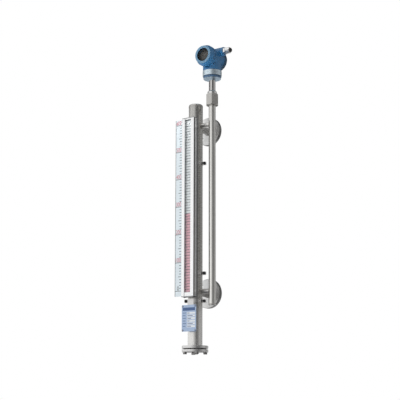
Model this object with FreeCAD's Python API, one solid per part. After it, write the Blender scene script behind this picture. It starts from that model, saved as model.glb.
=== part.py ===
import FreeCAD, Part
import math
import os

# Side-mounted magnetic level gauge with a remote level transmitter, in millimetres.
# Pieces are drawn about the float chamber: its axis is Z, the lower nozzle is at height 0,
# the indicator looks along -Y, the nozzles point along +Y and the sensor tube stands at +X.
# On export the origin moves to the lower flange's bolting face.

V = FreeCAD.Vector
X_AXIS = V(1, 0, 0)
Y_AXIS = V(0, 1, 0)
Z_AXIS = V(0, 0, 1)

# Common clearances
seat_gap = 0.1
moving_gap = 0.3
thread_gap = 0.3

# Process connections
centre_distance = 600.0
axis_to_bolting_face = 91.0
flange_od = 105.0
flange_rim_thickness = 14.0
flange_chamfer = 1.0
raised_face_od = 58.0
raised_face_height = 2.0
bolt_circle = 75.0
bolt_hole_count = 4
bolt_hole_d = 14.0
nozzle_od = 27.0
nozzle_wall = 2.5
nozzle_setback = 4.0

# Float chamber
chamber_od = 51.0
chamber_wall = 2.0
chamber_above_nozzle = 83.0
chamber_below_nozzle = 200.0
cap_height = 9.0
cap_edge = 4.0
cap_spigot = 5.0
cap_plate = 4.0

# Drain joint at the foot of the chamber
drain_rim_margin = 10.0
drain_flange_thickness = 9.5
drain_flange_chamfer = 0.8
drain_gasket_play = 2.0
drain_gasket_thickness = 3.0
drain_tube_setback = 2.0
drain_bolt_circle = 72.0
drain_bolt_count = 4
drain_bolt_d = 8.0
drain_bolt_hole_play = 0.5
drain_bolt_flats = 13.0
drain_bolt_head = 7.0
drain_plug_d = 16.0
drain_plug_flats = 19.0
drain_plug_head = 5.5
drain_plug_flange_od = 24.0
drain_plug_flange_height = 1.6

# Float with its ring magnet
float_play = 0.8
float_length = 110.0
float_wall = 0.5
float_end_cone = 9.0
float_draught = 86.0
magnet_wall = 3.6
magnet_height = 20.0

# Level shown by the flaps, and their column
shown_level = 275.0
flap_pitch = 10.0
flap_space = 0.7
flap_thickness = 3.2
flap_edge_thickness = 1.2
flap_flat = 5.6

# Indicator housing, an aluminium extrusion on the front of the chamber
channel_width = 51.0
channel_depth = 22.1
channel_wall = 4.5
channel_back_wall = 2.0
channel_lip = 2.0
channel_window = 24.4
channel_below_zero = 22.0
channel_above_full = 25.0
channel_cap = 3.0
window_apron = 13.0
side_groove = 6.0
side_groove_depth = 2.5
side_groove_edge = 1.5
foot_rib = 2.5
foot_rib_depth = 8.0
glass_thickness = 2.0
glass_overlap = 4.0
rack_rail = 3.5
rack_back = 1.8

# Scale plate, a folded sheet beside the flaps
scale_width = 28.0
scale_sheet = 1.5
scale_return = 13.0
scale_hem = 4.0
scale_below_zero = 19.0
scale_above_full = 20.0

# Clamp bands round the chamber
band_thickness = 1.2
band_width = 12.0
band_ear = 12.0
band_ear_space = 3.0
band_screw_d = 6.0
band_screw_flats = 10.0
band_screw_head = 4.0
band_screw_tail = 2.0
upper_band_level = 463.0
lower_band_level = 65.0
ear_angle = 22.0

# Nameplate on its bracket below the indicator
nameplate_width = 61.0
nameplate_height = 92.0
nameplate_thickness = 0.8
nameplate_stand_off = 12.5
nameplate_top = -49.0
nameplate_corner = 3.0
bracket_sheet = 1.5
bracket_width = 26.0
bracket_bend = 2.0
name_band_level = -33.0

# Sensor tube beside the chamber
sensor_offset = 72.3
sensor_od = 25.0
sensor_wall = 1.5
sensor_below_nozzle = 51.0
sensor_end_plug = 4.0
sensor_end_spigot = 6.0
standoff_d = 16.0
board_thickness = 1.6
board_end_space = 4.0
reed_spacing = 20.0
reed_length = 13.0
reed_d = 2.6

# Union above the sensor tube
union_rise = 69.0
union_nut_flats = 41.0
union_nut_height = 42.0
hex_chamfer_angle = 30.0
union_nut_floor = 7.0
union_thread_d = 31.0
union_tail_height = 8.0
union_body_bore = 16.0
union_collar_od = 34.0
union_collar_height = 13.0
union_collar_chamfer = 4.5
stem_od = 24.0
stem_wall = 2.0
stem_exposed = 44.0
stem_socket = 7.0

# Base adapter that carries the head
base_overhang = 1.0
base_thickness = 9.0
base_chamfer = 1.2
base_spigot_d = 42.0
base_spigot_height = 24.0
neck_gap = 0.6

# Transmitter housing, one casting
neck_od = 62.0
neck_shoulder_step = 2.5
neck_shoulder_height = 9.0
neck_bore_roof = 2.0
neck_band_thickness = 3.4
neck_band_height = 19.0
neck_band_groove = 2.0
neck_band_groove_depth = 0.9
barrel_rise = 68.4
barrel_od = 72.0
barrel_front = 31.0
barrel_rear = 27.0
barrel_rim_od = 76.0
barrel_rim = 4.0
barrel_bore = 60.0
divider_front = 8.0
divider_thickness = 6.0
conduit_rise = 21.0
conduit_behind = 6.0
conduit_od = 32.0
conduit_reach = 50.0
conduit_bore = 18.0
conduit_chamfer = 1.5
conduit_thread_depth = 12.0
wire_way_d = 10.0
wire_way_ahead = 14.0
set_screw_angle = -46.0
set_screw_d = 5.0
set_screw_boss_d = 10.0
set_screw_boss = 2.5
set_screw_drop = 30.0
set_screw_length = 7.0
set_screw_recess = 1.0
board_post_d = 6.0
board_post = 3.0
board_post_inset = 4.5
board_post_count = 4

# Covers of the transmitter housing
cover_gap = 1.6
cover_od = 77.0
cover_lobes = 16
cover_lobe_depth = 2.4
cover_lobe_d = 11.0
cover_spigot = 9.0
cover_spigot_wall = 2.0
cover_edge = 1.2
display_cover_rim = 13.0
display_cover_length = 28.5
display_cover_face_od = 65.0
window_d = 49.0
window_lip = 2.5
glass_seat = 3.0
glass_disc_thickness = 5.0
glass_gasket_thickness = 1.0
glass_ring_height = 3.0
terminal_cover_length = 15.5
terminal_cover_crown = 4.0
terminal_cover_crown_od = 66.0
terminal_cover_wall = 3.5
seal_thickness = 1.0
seal_width = 4.0

# Display and electronics inside the housing
circuit_board_play = 1.5
circuit_board_thickness = 1.6
display_margin = 1.5
display_depth = 9.0
display_window_width = 34.0
display_window_height = 17.0
display_window_depth = 1.2
display_behind_glass = 4.0
display_leg_d = 4.0
terminal_block_width = 38.0
terminal_block_height = 18.0
terminal_block_depth = 13.0
terminal_wall = 1.6
terminal_slot_depth = 5.0
terminal_count = 3

# Cable gland on the right, blanking plug on the left
gland_flats = 24.0
gland_hex = 7.0
gland_sleeve_d = 17.5
gland_sleeve = 9.0
gland_bore = 12.0
gland_nut_wall = 2.4
gland_nut_length = 17.0
gland_nut_mouth = 15.6
gland_nut_lip = 2.5
gland_nut_round = 3.0
gland_plug_proud = 5.0
gland_plug_collar = 1.6
blank_flange_od = 24.0
blank_flange = 4.0
blank_socket_flats = 10.0
blank_socket_depth = 5.0

# Heights worked out from the sizes above
chamber_r = chamber_od / 2
chamber_bore_r = chamber_r - chamber_wall
chamber_top = centre_distance + chamber_above_nozzle
drain_level = -chamber_below_nozzle
drain_ring_foot = drain_level + drain_gasket_thickness / 2
drain_blind_top = drain_level - drain_gasket_thickness / 2
drain_blind_foot = drain_blind_top - drain_flange_thickness
float_foot = drain_blind_top + moving_gap
nozzle_r = nozzle_od / 2
nozzle_bore_r = nozzle_r - nozzle_wall
flange_back = axis_to_bolting_face - flange_rim_thickness
sealing_face = axis_to_bolting_face + raised_face_height
channel_back = chamber_r + band_thickness + 2 * seat_gap
channel_front = channel_back + channel_depth
channel_foot = -channel_below_zero
channel_head = centre_distance + channel_above_full
glass_front = channel_front - channel_lip - seat_gap
glass_back = glass_front - glass_thickness
rack_foot = channel_back + channel_back_wall + seat_gap
rack_face = glass_back - seat_gap
flap_half = (flap_pitch - flap_space) / 2
flap_swing = math.hypot(flap_half, flap_edge_thickness / 2)
flap_axis = rack_face - flap_swing - moving_gap
union_foot = centre_distance + union_rise
union_collar_foot = union_foot + union_nut_height + seat_gap
stem_foot = union_collar_foot + union_collar_height
base_foot = stem_foot + stem_exposed
base_top = base_foot + base_thickness
neck_foot = base_top + neck_gap
shoulder_r = neck_od / 2 + neck_shoulder_step
barrel_level = neck_foot + barrel_rise
conduit_level = barrel_level + conduit_rise
nameplate_front = chamber_r + nameplate_stand_off
sensor_r = sensor_od / 2
sensor_bore_r = sensor_r - sensor_wall
glass_disc_r = window_d / 2 + glass_seat
circuit_board_r = barrel_bore / 2 - circuit_board_play
display_r = window_d / 2 - display_margin
gland_thread_r = conduit_bore / 2 - thread_gap
head_centre = V(sensor_offset, 0, 0)
barrel_centre = V(sensor_offset, 0, barrel_level)


def turned(profile):
    """Solid of revolution about Z from (radius, height) corners."""
    corners = [V(radius, 0, height) for radius, height in profile]
    outline = Part.makePolygon(corners + corners[:1])
    return Part.Face(outline).revolve(V(0, 0, 0), Z_AXIS, 360)


def ring(inner_r, outer_r, height):
    """Plain ring standing on the XY plane."""
    return turned([(inner_r, 0), (outer_r, 0), (outer_r, height), (inner_r, height)])


def rod(diameter, base, direction, length):
    """Round bar from a base point along a direction."""
    return Part.makeCylinder(diameter / 2, length, base, direction)


def aimed(shape, base, direction):
    """Move a shape drawn along Z so that it starts at base and points along direction."""
    shape.Placement = FreeCAD.Placement(base, FreeCAD.Rotation(Z_AXIS, direction))
    return shape


def raised(shape, height, x=0.0, y=0.0):
    """Shift a shape that is already upright."""
    return shape.translated(V(x, y, height))


def polar(radius, degrees, height=0.0):
    """Point on a circle about Z."""
    angle = math.radians(degrees)
    return V(radius * math.cos(angle), radius * math.sin(angle), height)


def around(count, radius, start=0.0):
    """Evenly spaced points on a circle about Z."""
    return [polar(radius, start + 360.0 * i / count) for i in range(count)]


def diagonal(count):
    """Start angle that sets a pattern astride the main axes."""
    return 180.0 / count


def prism(outline, height):
    """Upright prism from (x, y) corners."""
    corners = [V(x, y, 0) for x, y in outline]
    return Part.Face(Part.makePolygon(corners + corners[:1])).extrude(V(0, 0, height))


def both_sides(half):
    """Close a half outline by its mirror image in X."""
    return half + [(-x, y) for x, y in reversed(half)]


def hex_corner_r(flats):
    """Corner radius of a hexagon of a given width across flats."""
    return flats / math.sqrt(3)


def hexagon(flats, height):
    """Hexagon bar."""
    return prism([(p.x, p.y) for p in around(6, hex_corner_r(flats))], height)


def chamfered_bar(flats, height):
    """Round bar that turns off a hexagon's corners at both ends."""
    corner_r = hex_corner_r(flats)
    flat_r = flats / 2
    drop = (corner_r - flat_r) * math.tan(math.radians(hex_chamfer_angle))
    return turned([
        (0, 0),
        (flat_r, 0),
        (corner_r, drop),
        (corner_r, height - drop),
        (flat_r, height),
        (0, height),
    ])


def box_about(centre, width, depth, height):
    """Box by its sizes, centred in X and Y, standing at the centre point's height."""
    return Part.makeBox(width, depth, height, centre - V(width / 2, depth / 2, 0))


# The chamber and its two process nozzles


def chamber_tube():
    """Seamless tube, set in the drain ring and opened at each nozzle."""
    foot = drain_ring_foot + drain_tube_setback
    tube = raised(ring(chamber_bore_r, chamber_r, chamber_top - cap_height - foot), foot)
    for level in (0, centre_distance):
        tube = tube.cut(rod(2 * nozzle_bore_r, V(0, 0, level), Y_AXIS, chamber_od))
    return tube


def chamber_top_cap():
    """End cap with a softened rim and a spigot that centres it in the tube before welding."""
    spigot_r = chamber_bore_r - seat_gap
    soft = cap_edge * (1 - math.sqrt(0.5))
    cap = turned([
        (0, cap_height - cap_plate),
        (spigot_r - cap_plate, cap_height - cap_plate),
        (spigot_r - cap_plate, -cap_spigot),
        (spigot_r, -cap_spigot),
        (spigot_r, 0),
        (chamber_r, 0),
        (chamber_r, cap_height - cap_edge),
        (chamber_r - soft, cap_height - soft),
        (chamber_r - cap_edge, cap_height),
        (0, cap_height),
    ])
    return raised(cap, chamber_top - cap_height)


def nozzle(level):
    """Branch pipe, saddle-cut to the chamber and set into its flange."""
    pipe = aimed(ring(nozzle_bore_r, nozzle_r, sealing_face - nozzle_setback), V(0, 0, level), Y_AXIS)
    return pipe.cut(rod(chamber_od + 2 * seat_gap, V(0, 0, level - nozzle_od), Z_AXIS, 2 * nozzle_od))


def process_flange(level):
    """Slip-on flange with a raised sealing face and holes astride the main axes."""
    bore_r = nozzle_r + seat_gap
    rim_r = flange_od / 2
    face_r = raised_face_od / 2
    thickness = flange_rim_thickness
    plate = turned([
        (bore_r, 0),
        (rim_r - flange_chamfer, 0),
        (rim_r, flange_chamfer),
        (rim_r, thickness - flange_chamfer),
        (rim_r - flange_chamfer, thickness),
        (face_r, thickness),
        (face_r, thickness + raised_face_height),
        (bore_r, thickness + raised_face_height),
    ])
    for spot in around(bolt_hole_count, bolt_circle / 2, diagonal(bolt_hole_count)):
        plate = plate.cut(rod(bolt_hole_d, spot, Z_AXIS, thickness + raised_face_height))
    return aimed(plate, V(0, flange_back, level), Y_AXIS)


# The drain joint


def drain_spots():
    """Bolt positions of the drain joint, astride the main axes."""
    return around(drain_bolt_count, drain_bolt_circle / 2, diagonal(drain_bolt_count))


def drain_plate(bore_r):
    """Turned plate of the drain joint with both rim edges broken."""
    rim_r = drain_bolt_circle / 2 + drain_rim_margin
    edge = drain_flange_chamfer
    return turned([
        (bore_r, 0),
        (rim_r - edge, 0),
        (rim_r, edge),
        (rim_r, drain_flange_thickness - edge),
        (rim_r - edge, drain_flange_thickness),
        (bore_r, drain_flange_thickness),
    ])


def drain_flange_ring():
    """Ring welded round the chamber's foot, tapped for the bolts from below."""
    plate = drain_plate(chamber_r + seat_gap)
    for spot in drain_spots():
        plate = plate.cut(rod(drain_bolt_d + 2 * seat_gap, spot, Z_AXIS, drain_flange_thickness))
    return raised(plate, drain_ring_foot)


def drain_blind_flange():
    """Bottom plate with clearance holes and a tapped drain hole."""
    plate = drain_plate(drain_plug_d / 2 + seat_gap)
    for spot in drain_spots():
        hole_d = drain_bolt_d + 2 * drain_bolt_hole_play
        plate = plate.cut(rod(hole_d, spot, Z_AXIS, drain_flange_thickness))
    return raised(plate, drain_blind_foot)


def drain_gasket():
    """Flat ring gasket inside the bolt circle."""
    outer_r = (drain_bolt_circle - drain_bolt_d) / 2 - drain_gasket_play
    return raised(ring(chamber_bore_r, outer_r, drain_gasket_thickness), drain_blind_top)


def drain_bolts():
    """Hexagon bolts driven up through the blind flange into the ring."""
    shank = 2 * drain_flange_thickness + drain_gasket_thickness
    head_foot = drain_blind_foot - drain_bolt_head
    bolts = []
    for spot in drain_spots():
        head = hexagon(drain_bolt_flats, drain_bolt_head)
        bolt = head.fuse(rod(drain_bolt_d, V(0, 0, 0), Z_AXIS, drain_bolt_head + shank))
        bolts.append(raised(bolt, head_foot, spot.x, spot.y))
    return Part.makeCompound(bolts)


def drain_plug():
    """Hexagon plug with a sealing flange, screwed into the blind flange."""
    flange = ring(0, drain_plug_flange_od / 2, drain_plug_flange_height)
    head = hexagon(drain_plug_flats, drain_plug_head)
    shank = rod(drain_plug_d, V(0, 0, 0), Z_AXIS, drain_plug_flange_height + drain_flange_thickness)
    plug = raised(head, -drain_plug_head).multiFuse([flange, shank])
    return raised(plug, drain_blind_foot - drain_plug_flange_height)


# The float


def coned_cylinder(radius, length, cone):
    """Cylinder with both ends coned."""
    return turned([
        (0, 0),
        (radius - cone, 0),
        (radius, cone),
        (radius, length - cone),
        (radius - cone, length),
        (0, length),
    ])


def float_shell():
    """Sealed thin-walled float, at rest on the blind flange."""
    outer_r = chamber_bore_r - float_play
    outer = coned_cylinder(outer_r, float_length, float_end_cone)
    hollow_length = float_length - 2 * float_wall
    hollow = coned_cylinder(outer_r - float_wall, hollow_length, float_end_cone)
    return raised(outer.cut(raised(hollow, float_wall)), float_foot)


def float_magnet():
    """Ring magnet held inside the float's wall at the liquid line."""
    outer_r = chamber_bore_r - float_play - float_wall - seat_gap
    foot = float_foot + float_draught - magnet_height / 2
    return raised(ring(outer_r - magnet_wall, outer_r, magnet_height), foot)


# The indicator


def channel_outline():
    """Half of the extrusion's outside: foot rib, side wall with its groove, and front."""
    half = channel_width / 2
    rib_front = channel_back + foot_rib_depth
    groove_front = channel_front - side_groove_edge
    groove_back = groove_front - side_groove
    return [
        (half + foot_rib, -channel_back),
        (half + foot_rib, -rib_front + foot_rib),
        (half, -rib_front),
        (half, -groove_back),
        (half - side_groove_depth, -groove_back),
        (half - side_groove_depth, -groove_front),
        (half, -groove_front),
        (half, -channel_front),
    ]


def indicator_channel():
    """Extrusion with a slot for the flaps between two front lips."""
    inner = channel_width / 2 - channel_wall
    lip_back = channel_front - channel_lip
    half = channel_outline() + [
        (channel_window / 2, -channel_front),
        (channel_window / 2, -lip_back),
        (inner, -lip_back),
        (inner, -channel_back - channel_back_wall),
    ]
    length = channel_head - channel_foot - 2 * channel_cap
    return raised(prism(both_sides(half), length), channel_foot + channel_cap)


def indicator_cap(level):
    """End plate with the extrusion's own outline."""
    return raised(prism(both_sides(channel_outline()), channel_cap), level)


def indicator_bottom_cap():
    """Bottom end plate with an apron that closes the front below the lowest flap."""
    centre = V(0, -channel_front + channel_lip / 2, channel_foot + channel_cap)
    apron = box_about(centre, channel_window - 2 * seat_gap, channel_lip, window_apron)
    return indicator_cap(channel_foot).fuse(apron)


def indicator_window():
    """Clear strip slid in behind the front lips."""
    width = channel_window + 2 * glass_overlap
    length = channel_head - channel_foot - 2 * channel_cap - 2 * seat_gap
    foot = V(0, -(glass_front + glass_back) / 2, channel_foot + channel_cap + seat_gap)
    return box_about(foot, width, glass_thickness, length)


def flap(level):
    """One flap across the rack, tapered to thin meeting edges."""
    span = channel_window + rack_rail
    profile = [
        (flap_thickness / 2, flap_flat / 2),
        (flap_edge_thickness / 2, flap_half),
        (-flap_edge_thickness / 2, flap_half),
        (-flap_thickness / 2, flap_flat / 2),
    ]
    corners = profile + [(-y, -z) for y, z in profile]
    wire = [V(-span / 2, y - flap_axis, z + level) for y, z in corners]
    return Part.Face(Part.makePolygon(wire + wire[:1])).extrude(V(span, 0, 0))


def rack_end(low, high):
    """Block that fills a rack beyond its outermost flap."""
    depth = flap_axis + flap_thickness / 2 - rack_foot
    return box_about(V(0, -rack_foot - depth / 2, low), channel_window, depth, high - low)


def flap_rack(first, last, foot, head, end):
    """Carrier with side rails, joined to its end block and to the flaps that turn in it."""
    inner = channel_window / 2
    half = [
        (inner + rack_rail, -rack_foot),
        (inner + rack_rail, -rack_face),
        (inner, -rack_face),
        (inner, -rack_foot - rack_back),
    ]
    carrier = raised(prism(both_sides(half), head - foot), foot)
    return carrier.multiFuse([end] + [flap(flap_pitch * i) for i in range(first, last + 1)])


def flap_count():
    """Flaps from zero to full scale."""
    return int(round(centre_distance / flap_pitch)) + 1


def red_flap_count():
    """Flaps below the shown level, turned to their red side."""
    return int(math.floor(shown_level / flap_pitch)) + 1


def rack_split():
    """Height where the two racks meet, half-way between two flaps."""
    return (red_flap_count() - 0.5) * flap_pitch


def red_flap_rack():
    """Rack below the level."""
    foot = channel_foot + channel_cap + seat_gap
    end = rack_end(foot, -flap_pitch / 2)
    return flap_rack(0, red_flap_count() - 1, foot, rack_split() - seat_gap / 2, end)


def white_flap_rack():
    """Rack above the level."""
    head = channel_head - channel_cap - seat_gap
    end = rack_end(centre_distance + flap_pitch / 2, head)
    return flap_rack(red_flap_count(), flap_count() - 1, rack_split() + seat_gap / 2, head, end)


def scale_plate():
    """Folded sheet: a return on the channel's side, the scale's face and a back-turned hem."""
    side = channel_width / 2 + seat_gap
    edge = side + scale_width
    outline = [
        (-side, -channel_front),
        (-side, -channel_front + scale_return),
        (-side - scale_sheet, -channel_front + scale_return),
        (-side - scale_sheet, -channel_front + scale_sheet),
        (-edge + scale_sheet, -channel_front + scale_sheet),
        (-edge + scale_sheet, -channel_front + scale_hem),
        (-edge, -channel_front + scale_hem),
        (-edge, -channel_front),
    ]
    length = centre_distance + scale_below_zero + scale_above_full
    return raised(prism(outline, length), -scale_below_zero)


# Clamp bands


def band_ear_end():
    """Radius of a band's ear tips."""
    return chamber_r + seat_gap + band_thickness + band_ear


def band_screw_place(level, angle):
    """Middle of a band's screw."""
    return polar(band_ear_end() - band_ear / 2, angle, level)


def across(angle):
    """Direction of a band's screw, tangent to the chamber."""
    return polar(1.0, angle + 90.0)


def ear_pair(angle, half_space):
    """Block for a band's two ears, or for the space between them."""
    block = Part.makeBox(band_ear_end(), 2 * half_space, band_width, V(0, -half_space, 0))
    block.rotate(V(0, 0, 0), Z_AXIS, angle)
    return block


def clamp_hoop(level, angles):
    """Sheet hoop round the chamber, parted between two drilled ears at each angle."""
    inner_r = chamber_r + seat_gap
    hoop = ring(inner_r, inner_r + band_thickness, band_width)
    bore = Part.makeCylinder(inner_r, band_width)
    half_space = band_ear_space / 2
    for angle in angles:
        hoop = hoop.fuse(ear_pair(angle, half_space + band_thickness).cut(bore))
    for angle in angles:
        hole_start = band_screw_place(band_width / 2, angle) - across(angle) * band_ear
        hole = rod(band_screw_d + 2 * seat_gap, hole_start, across(angle), 2 * band_ear)
        hoop = hoop.cut(ear_pair(angle, half_space)).cut(hole)
    return raised(hoop, level - band_width / 2)


def clamp_band(level):
    """Band that holds the indicator, in one piece."""
    return clamp_hoop(level, [ear_angle]).Solids[0]


def nameplate_clamp(front):
    """Front or rear half of the two-piece clamp that holds the nameplate's bracket."""
    halves = clamp_hoop(name_band_level, [ear_angle, ear_angle + 180]).Solids
    return sorted(halves, key=lambda half: half.CenterOfMass.y)[0 if front else 1]


def band_screw(level, angle):
    """Hexagon screw through a band's ears."""
    pair = band_ear_space + 2 * band_thickness
    head = hexagon(band_screw_flats, band_screw_head)
    length = band_screw_head + pair + band_screw_head + band_screw_tail
    screw = head.fuse(rod(band_screw_d, V(0, 0, 0), Z_AXIS, length))
    start = band_screw_place(level, angle) - across(angle) * (pair / 2 + band_screw_head)
    return aimed(screw, start, across(angle))


def clamp_screws():
    """Screws of the two bands and of the nameplate's clamp."""
    places = [
        (upper_band_level, ear_angle),
        (lower_band_level, ear_angle),
        (name_band_level, ear_angle),
        (name_band_level, ear_angle + 180),
    ]
    return Part.makeCompound([band_screw(*place) for place in places])


# The nameplate


def nameplate_bracket():
    """Folded strip: a tab on its band, a top leg, the plate's backing and a foot on the chamber."""
    front = nameplate_front - nameplate_thickness
    back = chamber_r + seat_gap
    tab_r = back + band_thickness + seat_gap
    top = nameplate_top - bracket_bend
    foot = nameplate_top - nameplate_height + bracket_bend
    tab_top = name_band_level + band_width / 2
    legs = [
        (-front, foot),
        (-front, top),
        (-tab_r - bracket_sheet, top),
        (-tab_r - bracket_sheet, tab_top),
        (-tab_r, tab_top),
        (-tab_r, top - bracket_sheet),
        (-front + bracket_sheet, top - bracket_sheet),
        (-front + bracket_sheet, foot + bracket_sheet),
        (-back, foot + bracket_sheet),
        (-back, foot),
    ]
    wire = [V(-bracket_width / 2, y, z) for y, z in legs]
    strip = Part.Face(Part.makePolygon(wire + wire[:1])).extrude(V(bracket_width, 0, 0))
    height = tab_top - foot
    return strip.cut(rod(2 * back, V(0, 0, foot - height), Z_AXIS, 3 * height))


def nameplate():
    """Thin plate with rounded corners."""
    foot = V(0, -nameplate_front + nameplate_thickness / 2, nameplate_top - nameplate_height)
    plate = box_about(foot, nameplate_width, nameplate_thickness, nameplate_height)
    corners = [e for e in plate.Edges if abs(e.tangentAt(e.FirstParameter).y) > 0.5]
    return plate.makeFillet(nameplate_corner, corners)


# The sensor tube


def sensor_top():
    """Upper end of the sensor tube, flush with its tail ring inside the union."""
    return union_foot + union_nut_floor + seat_gap + union_tail_height


def sensor_tube():
    """Tube for the reed chain, closed below by a plug."""
    foot = sensor_end_plug - sensor_below_nozzle
    return raised(ring(sensor_bore_r, sensor_r, sensor_top() - foot), foot, sensor_offset)


def sensor_end():
    """Welded end plug with a spigot in the tube."""
    spigot_r = sensor_bore_r - seat_gap
    plug = turned([
        (0, 0),
        (sensor_r - sensor_wall, 0),
        (sensor_r, sensor_wall),
        (sensor_r, sensor_end_plug),
        (spigot_r, sensor_end_plug),
        (spigot_r, sensor_end_plug + sensor_end_spigot),
        (0, sensor_end_plug + sensor_end_spigot),
    ])
    return raised(plug, -sensor_below_nozzle, sensor_offset)


def standoff(level):
    """Round bar welded between chamber and sensor tube, saddle-cut at both ends."""
    bar = rod(standoff_d, V(0, 0, level), X_AXIS, sensor_offset)
    foot = V(0, 0, level - standoff_d)
    bar = bar.cut(rod(chamber_od + 2 * seat_gap, foot, Z_AXIS, 2 * standoff_d))
    return bar.cut(rod(sensor_od + 2 * seat_gap, foot + head_centre, Z_AXIS, 2 * standoff_d))


def reed_chain_board():
    """Long circuit strip with a reed switch at every step, its edges guided by the tube's bore."""
    half_chord = math.sqrt((sensor_bore_r - seat_gap) ** 2 - (board_thickness / 2) ** 2)
    foot = sensor_end_plug + sensor_end_spigot - sensor_below_nozzle
    length = sensor_top() - foot - board_end_space
    strip = box_about(V(sensor_offset, 0, foot), 2 * half_chord, board_thickness, length)
    count = int(centre_distance // reed_spacing) + 1
    reeds = []
    for i in range(count):
        spot = V(sensor_offset, -(board_thickness + reed_d) / 2, i * reed_spacing - reed_length / 2)
        reeds.append(box_about(spot, reed_d, reed_d, reed_length))
    return strip.multiFuse(reeds)


# The union and the stem


def union_nut():
    """Long hexagon nut over the tail ring and the body's thread."""
    nut = hexagon(union_nut_flats, union_nut_height)
    nut = nut.common(chamfered_bar(union_nut_flats, union_nut_height))
    bore = turned([
        (0, 0),
        (sensor_r + seat_gap, 0),
        (sensor_r + seat_gap, union_nut_floor),
        (union_thread_d / 2 + seat_gap, union_nut_floor),
        (union_thread_d / 2 + seat_gap, union_nut_height),
        (0, union_nut_height),
    ])
    return raised(nut.cut(bore), union_foot, sensor_offset)


def union_tail_ring():
    """Ring brazed to the sensor tube's upper end, held by the nut's floor."""
    tail = ring(sensor_r + seat_gap, union_thread_d / 2, union_tail_height)
    return raised(tail, union_foot + union_nut_floor + seat_gap, sensor_offset)


def union_body():
    """Turned body: thread in the nut, chamfered collar above it and a socket for the stem."""
    thread = union_nut_height - union_nut_floor - union_tail_height - seat_gap
    collar_r = union_collar_od / 2
    bore_r = union_body_bore / 2
    socket_r = stem_od / 2 + seat_gap
    socket_floor = union_collar_height - stem_socket
    body = turned([
        (bore_r, -thread),
        (union_thread_d / 2, -thread),
        (union_thread_d / 2, 0),
        (collar_r, 0),
        (collar_r, union_collar_height - union_collar_chamfer),
        (max(collar_r - union_collar_chamfer, socket_r + stem_wall / 2), union_collar_height),
        (socket_r, union_collar_height),
        (socket_r, socket_floor),
        (bore_r, socket_floor),
    ])
    return raised(body, union_collar_foot, sensor_offset)


def stem_pipe():
    """Pipe between the union and the head's base, socketed at both ends."""
    stem = ring(stem_od / 2 - stem_wall, stem_od / 2, stem_exposed + 2 * (stem_socket - seat_gap))
    return raised(stem, stem_foot - stem_socket + seat_gap, sensor_offset)


# The head


def head_base():
    """Turned adapter: a disc on the stem and a spigot that the housing turns on."""
    rim_r = neck_od / 2 + base_overhang
    wire_r = stem_od / 2 - stem_wall
    socket_r = stem_od / 2 + seat_gap
    base = turned([
        (socket_r, 0),
        (rim_r - base_chamfer, 0),
        (rim_r, base_chamfer),
        (rim_r, base_thickness),
        (base_spigot_d / 2, base_thickness),
        (base_spigot_d / 2, base_thickness + base_spigot_height),
        (wire_r, base_thickness + base_spigot_height),
        (wire_r, stem_socket),
        (socket_r, stem_socket),
    ])
    return raised(base, base_foot, sensor_offset)


def neck_band():
    """Bright metal band on the housing's neck, with a groove turned round its middle."""
    inner_r = neck_od / 2 + seat_gap
    outer_r = inner_r + neck_band_thickness
    groove_r = outer_r - neck_band_groove_depth
    low = (neck_band_height - neck_band_groove) / 2
    high = (neck_band_height + neck_band_groove) / 2
    band = turned([
        (inner_r, 0),
        (outer_r, 0),
        (outer_r, low),
        (groove_r, low),
        (groove_r, high),
        (outer_r, high),
        (outer_r, neck_band_height),
        (inner_r, neck_band_height),
    ])
    return raised(band, neck_foot, sensor_offset)


def along_barrel(shape, y):
    """Place a shape drawn along Z on the barrel's axis, pointing back."""
    return aimed(shape, barrel_centre + V(0, y, 0), Y_AXIS)


def neck_casting():
    """Neck below the barrel: a seat for the band, then a shoulder that runs up into the barrel."""
    shoulder_foot = neck_band_height + seat_gap
    shoulder_top = shoulder_foot + neck_shoulder_height
    neck = turned([
        (0, 0),
        (neck_od / 2, 0),
        (neck_od / 2, shoulder_foot),
        (shoulder_r, shoulder_foot),
        (shoulder_r, shoulder_top),
        (0, shoulder_top),
    ])
    riser = Part.makeCylinder(shoulder_r, barrel_rise - shoulder_top, V(0, 0, shoulder_top))
    slab = Part.makeBox(
        2 * shoulder_r, barrel_front + barrel_rear, barrel_rise, V(-shoulder_r, -barrel_front, 0)
    )
    return raised(neck.fuse(riser.common(slab)), neck_foot, sensor_offset)


def barrel_casting():
    """Barrel across the head with a raised rim at each mouth."""
    length = barrel_front + barrel_rear
    rim_r = barrel_rim_od / 2
    body_r = barrel_od / 2
    step = rim_r - body_r
    barrel = turned([
        (0, 0),
        (rim_r, 0),
        (rim_r, barrel_rim),
        (body_r, barrel_rim + step),
        (body_r, length - barrel_rim - step),
        (rim_r, length - barrel_rim),
        (rim_r, length),
        (0, length),
    ])
    return along_barrel(barrel, -barrel_front)


def conduit_mouth(side):
    """Centre of a cable entry's outer face."""
    return V(sensor_offset + side * conduit_reach, conduit_behind, conduit_level)


def conduit_boss(side):
    """Round cable entry boss on one side of the barrel."""
    boss_r = conduit_od / 2
    boss = turned([
        (0, 0),
        (boss_r, 0),
        (boss_r, conduit_reach - conduit_chamfer),
        (boss_r - conduit_chamfer, conduit_reach),
        (0, conduit_reach),
    ])
    return aimed(boss, V(sensor_offset, conduit_behind, conduit_level), X_AXIS * side)


def set_screw_axis():
    """Outward direction of the screw that locks the head's turn."""
    return polar(1.0, set_screw_angle)


def set_screw_mouth():
    """Centre of the lock screw boss's outer face."""
    radius = shoulder_r + set_screw_boss
    return polar(radius, set_screw_angle) + head_centre + V(0, 0, barrel_level - set_screw_drop)


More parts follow.
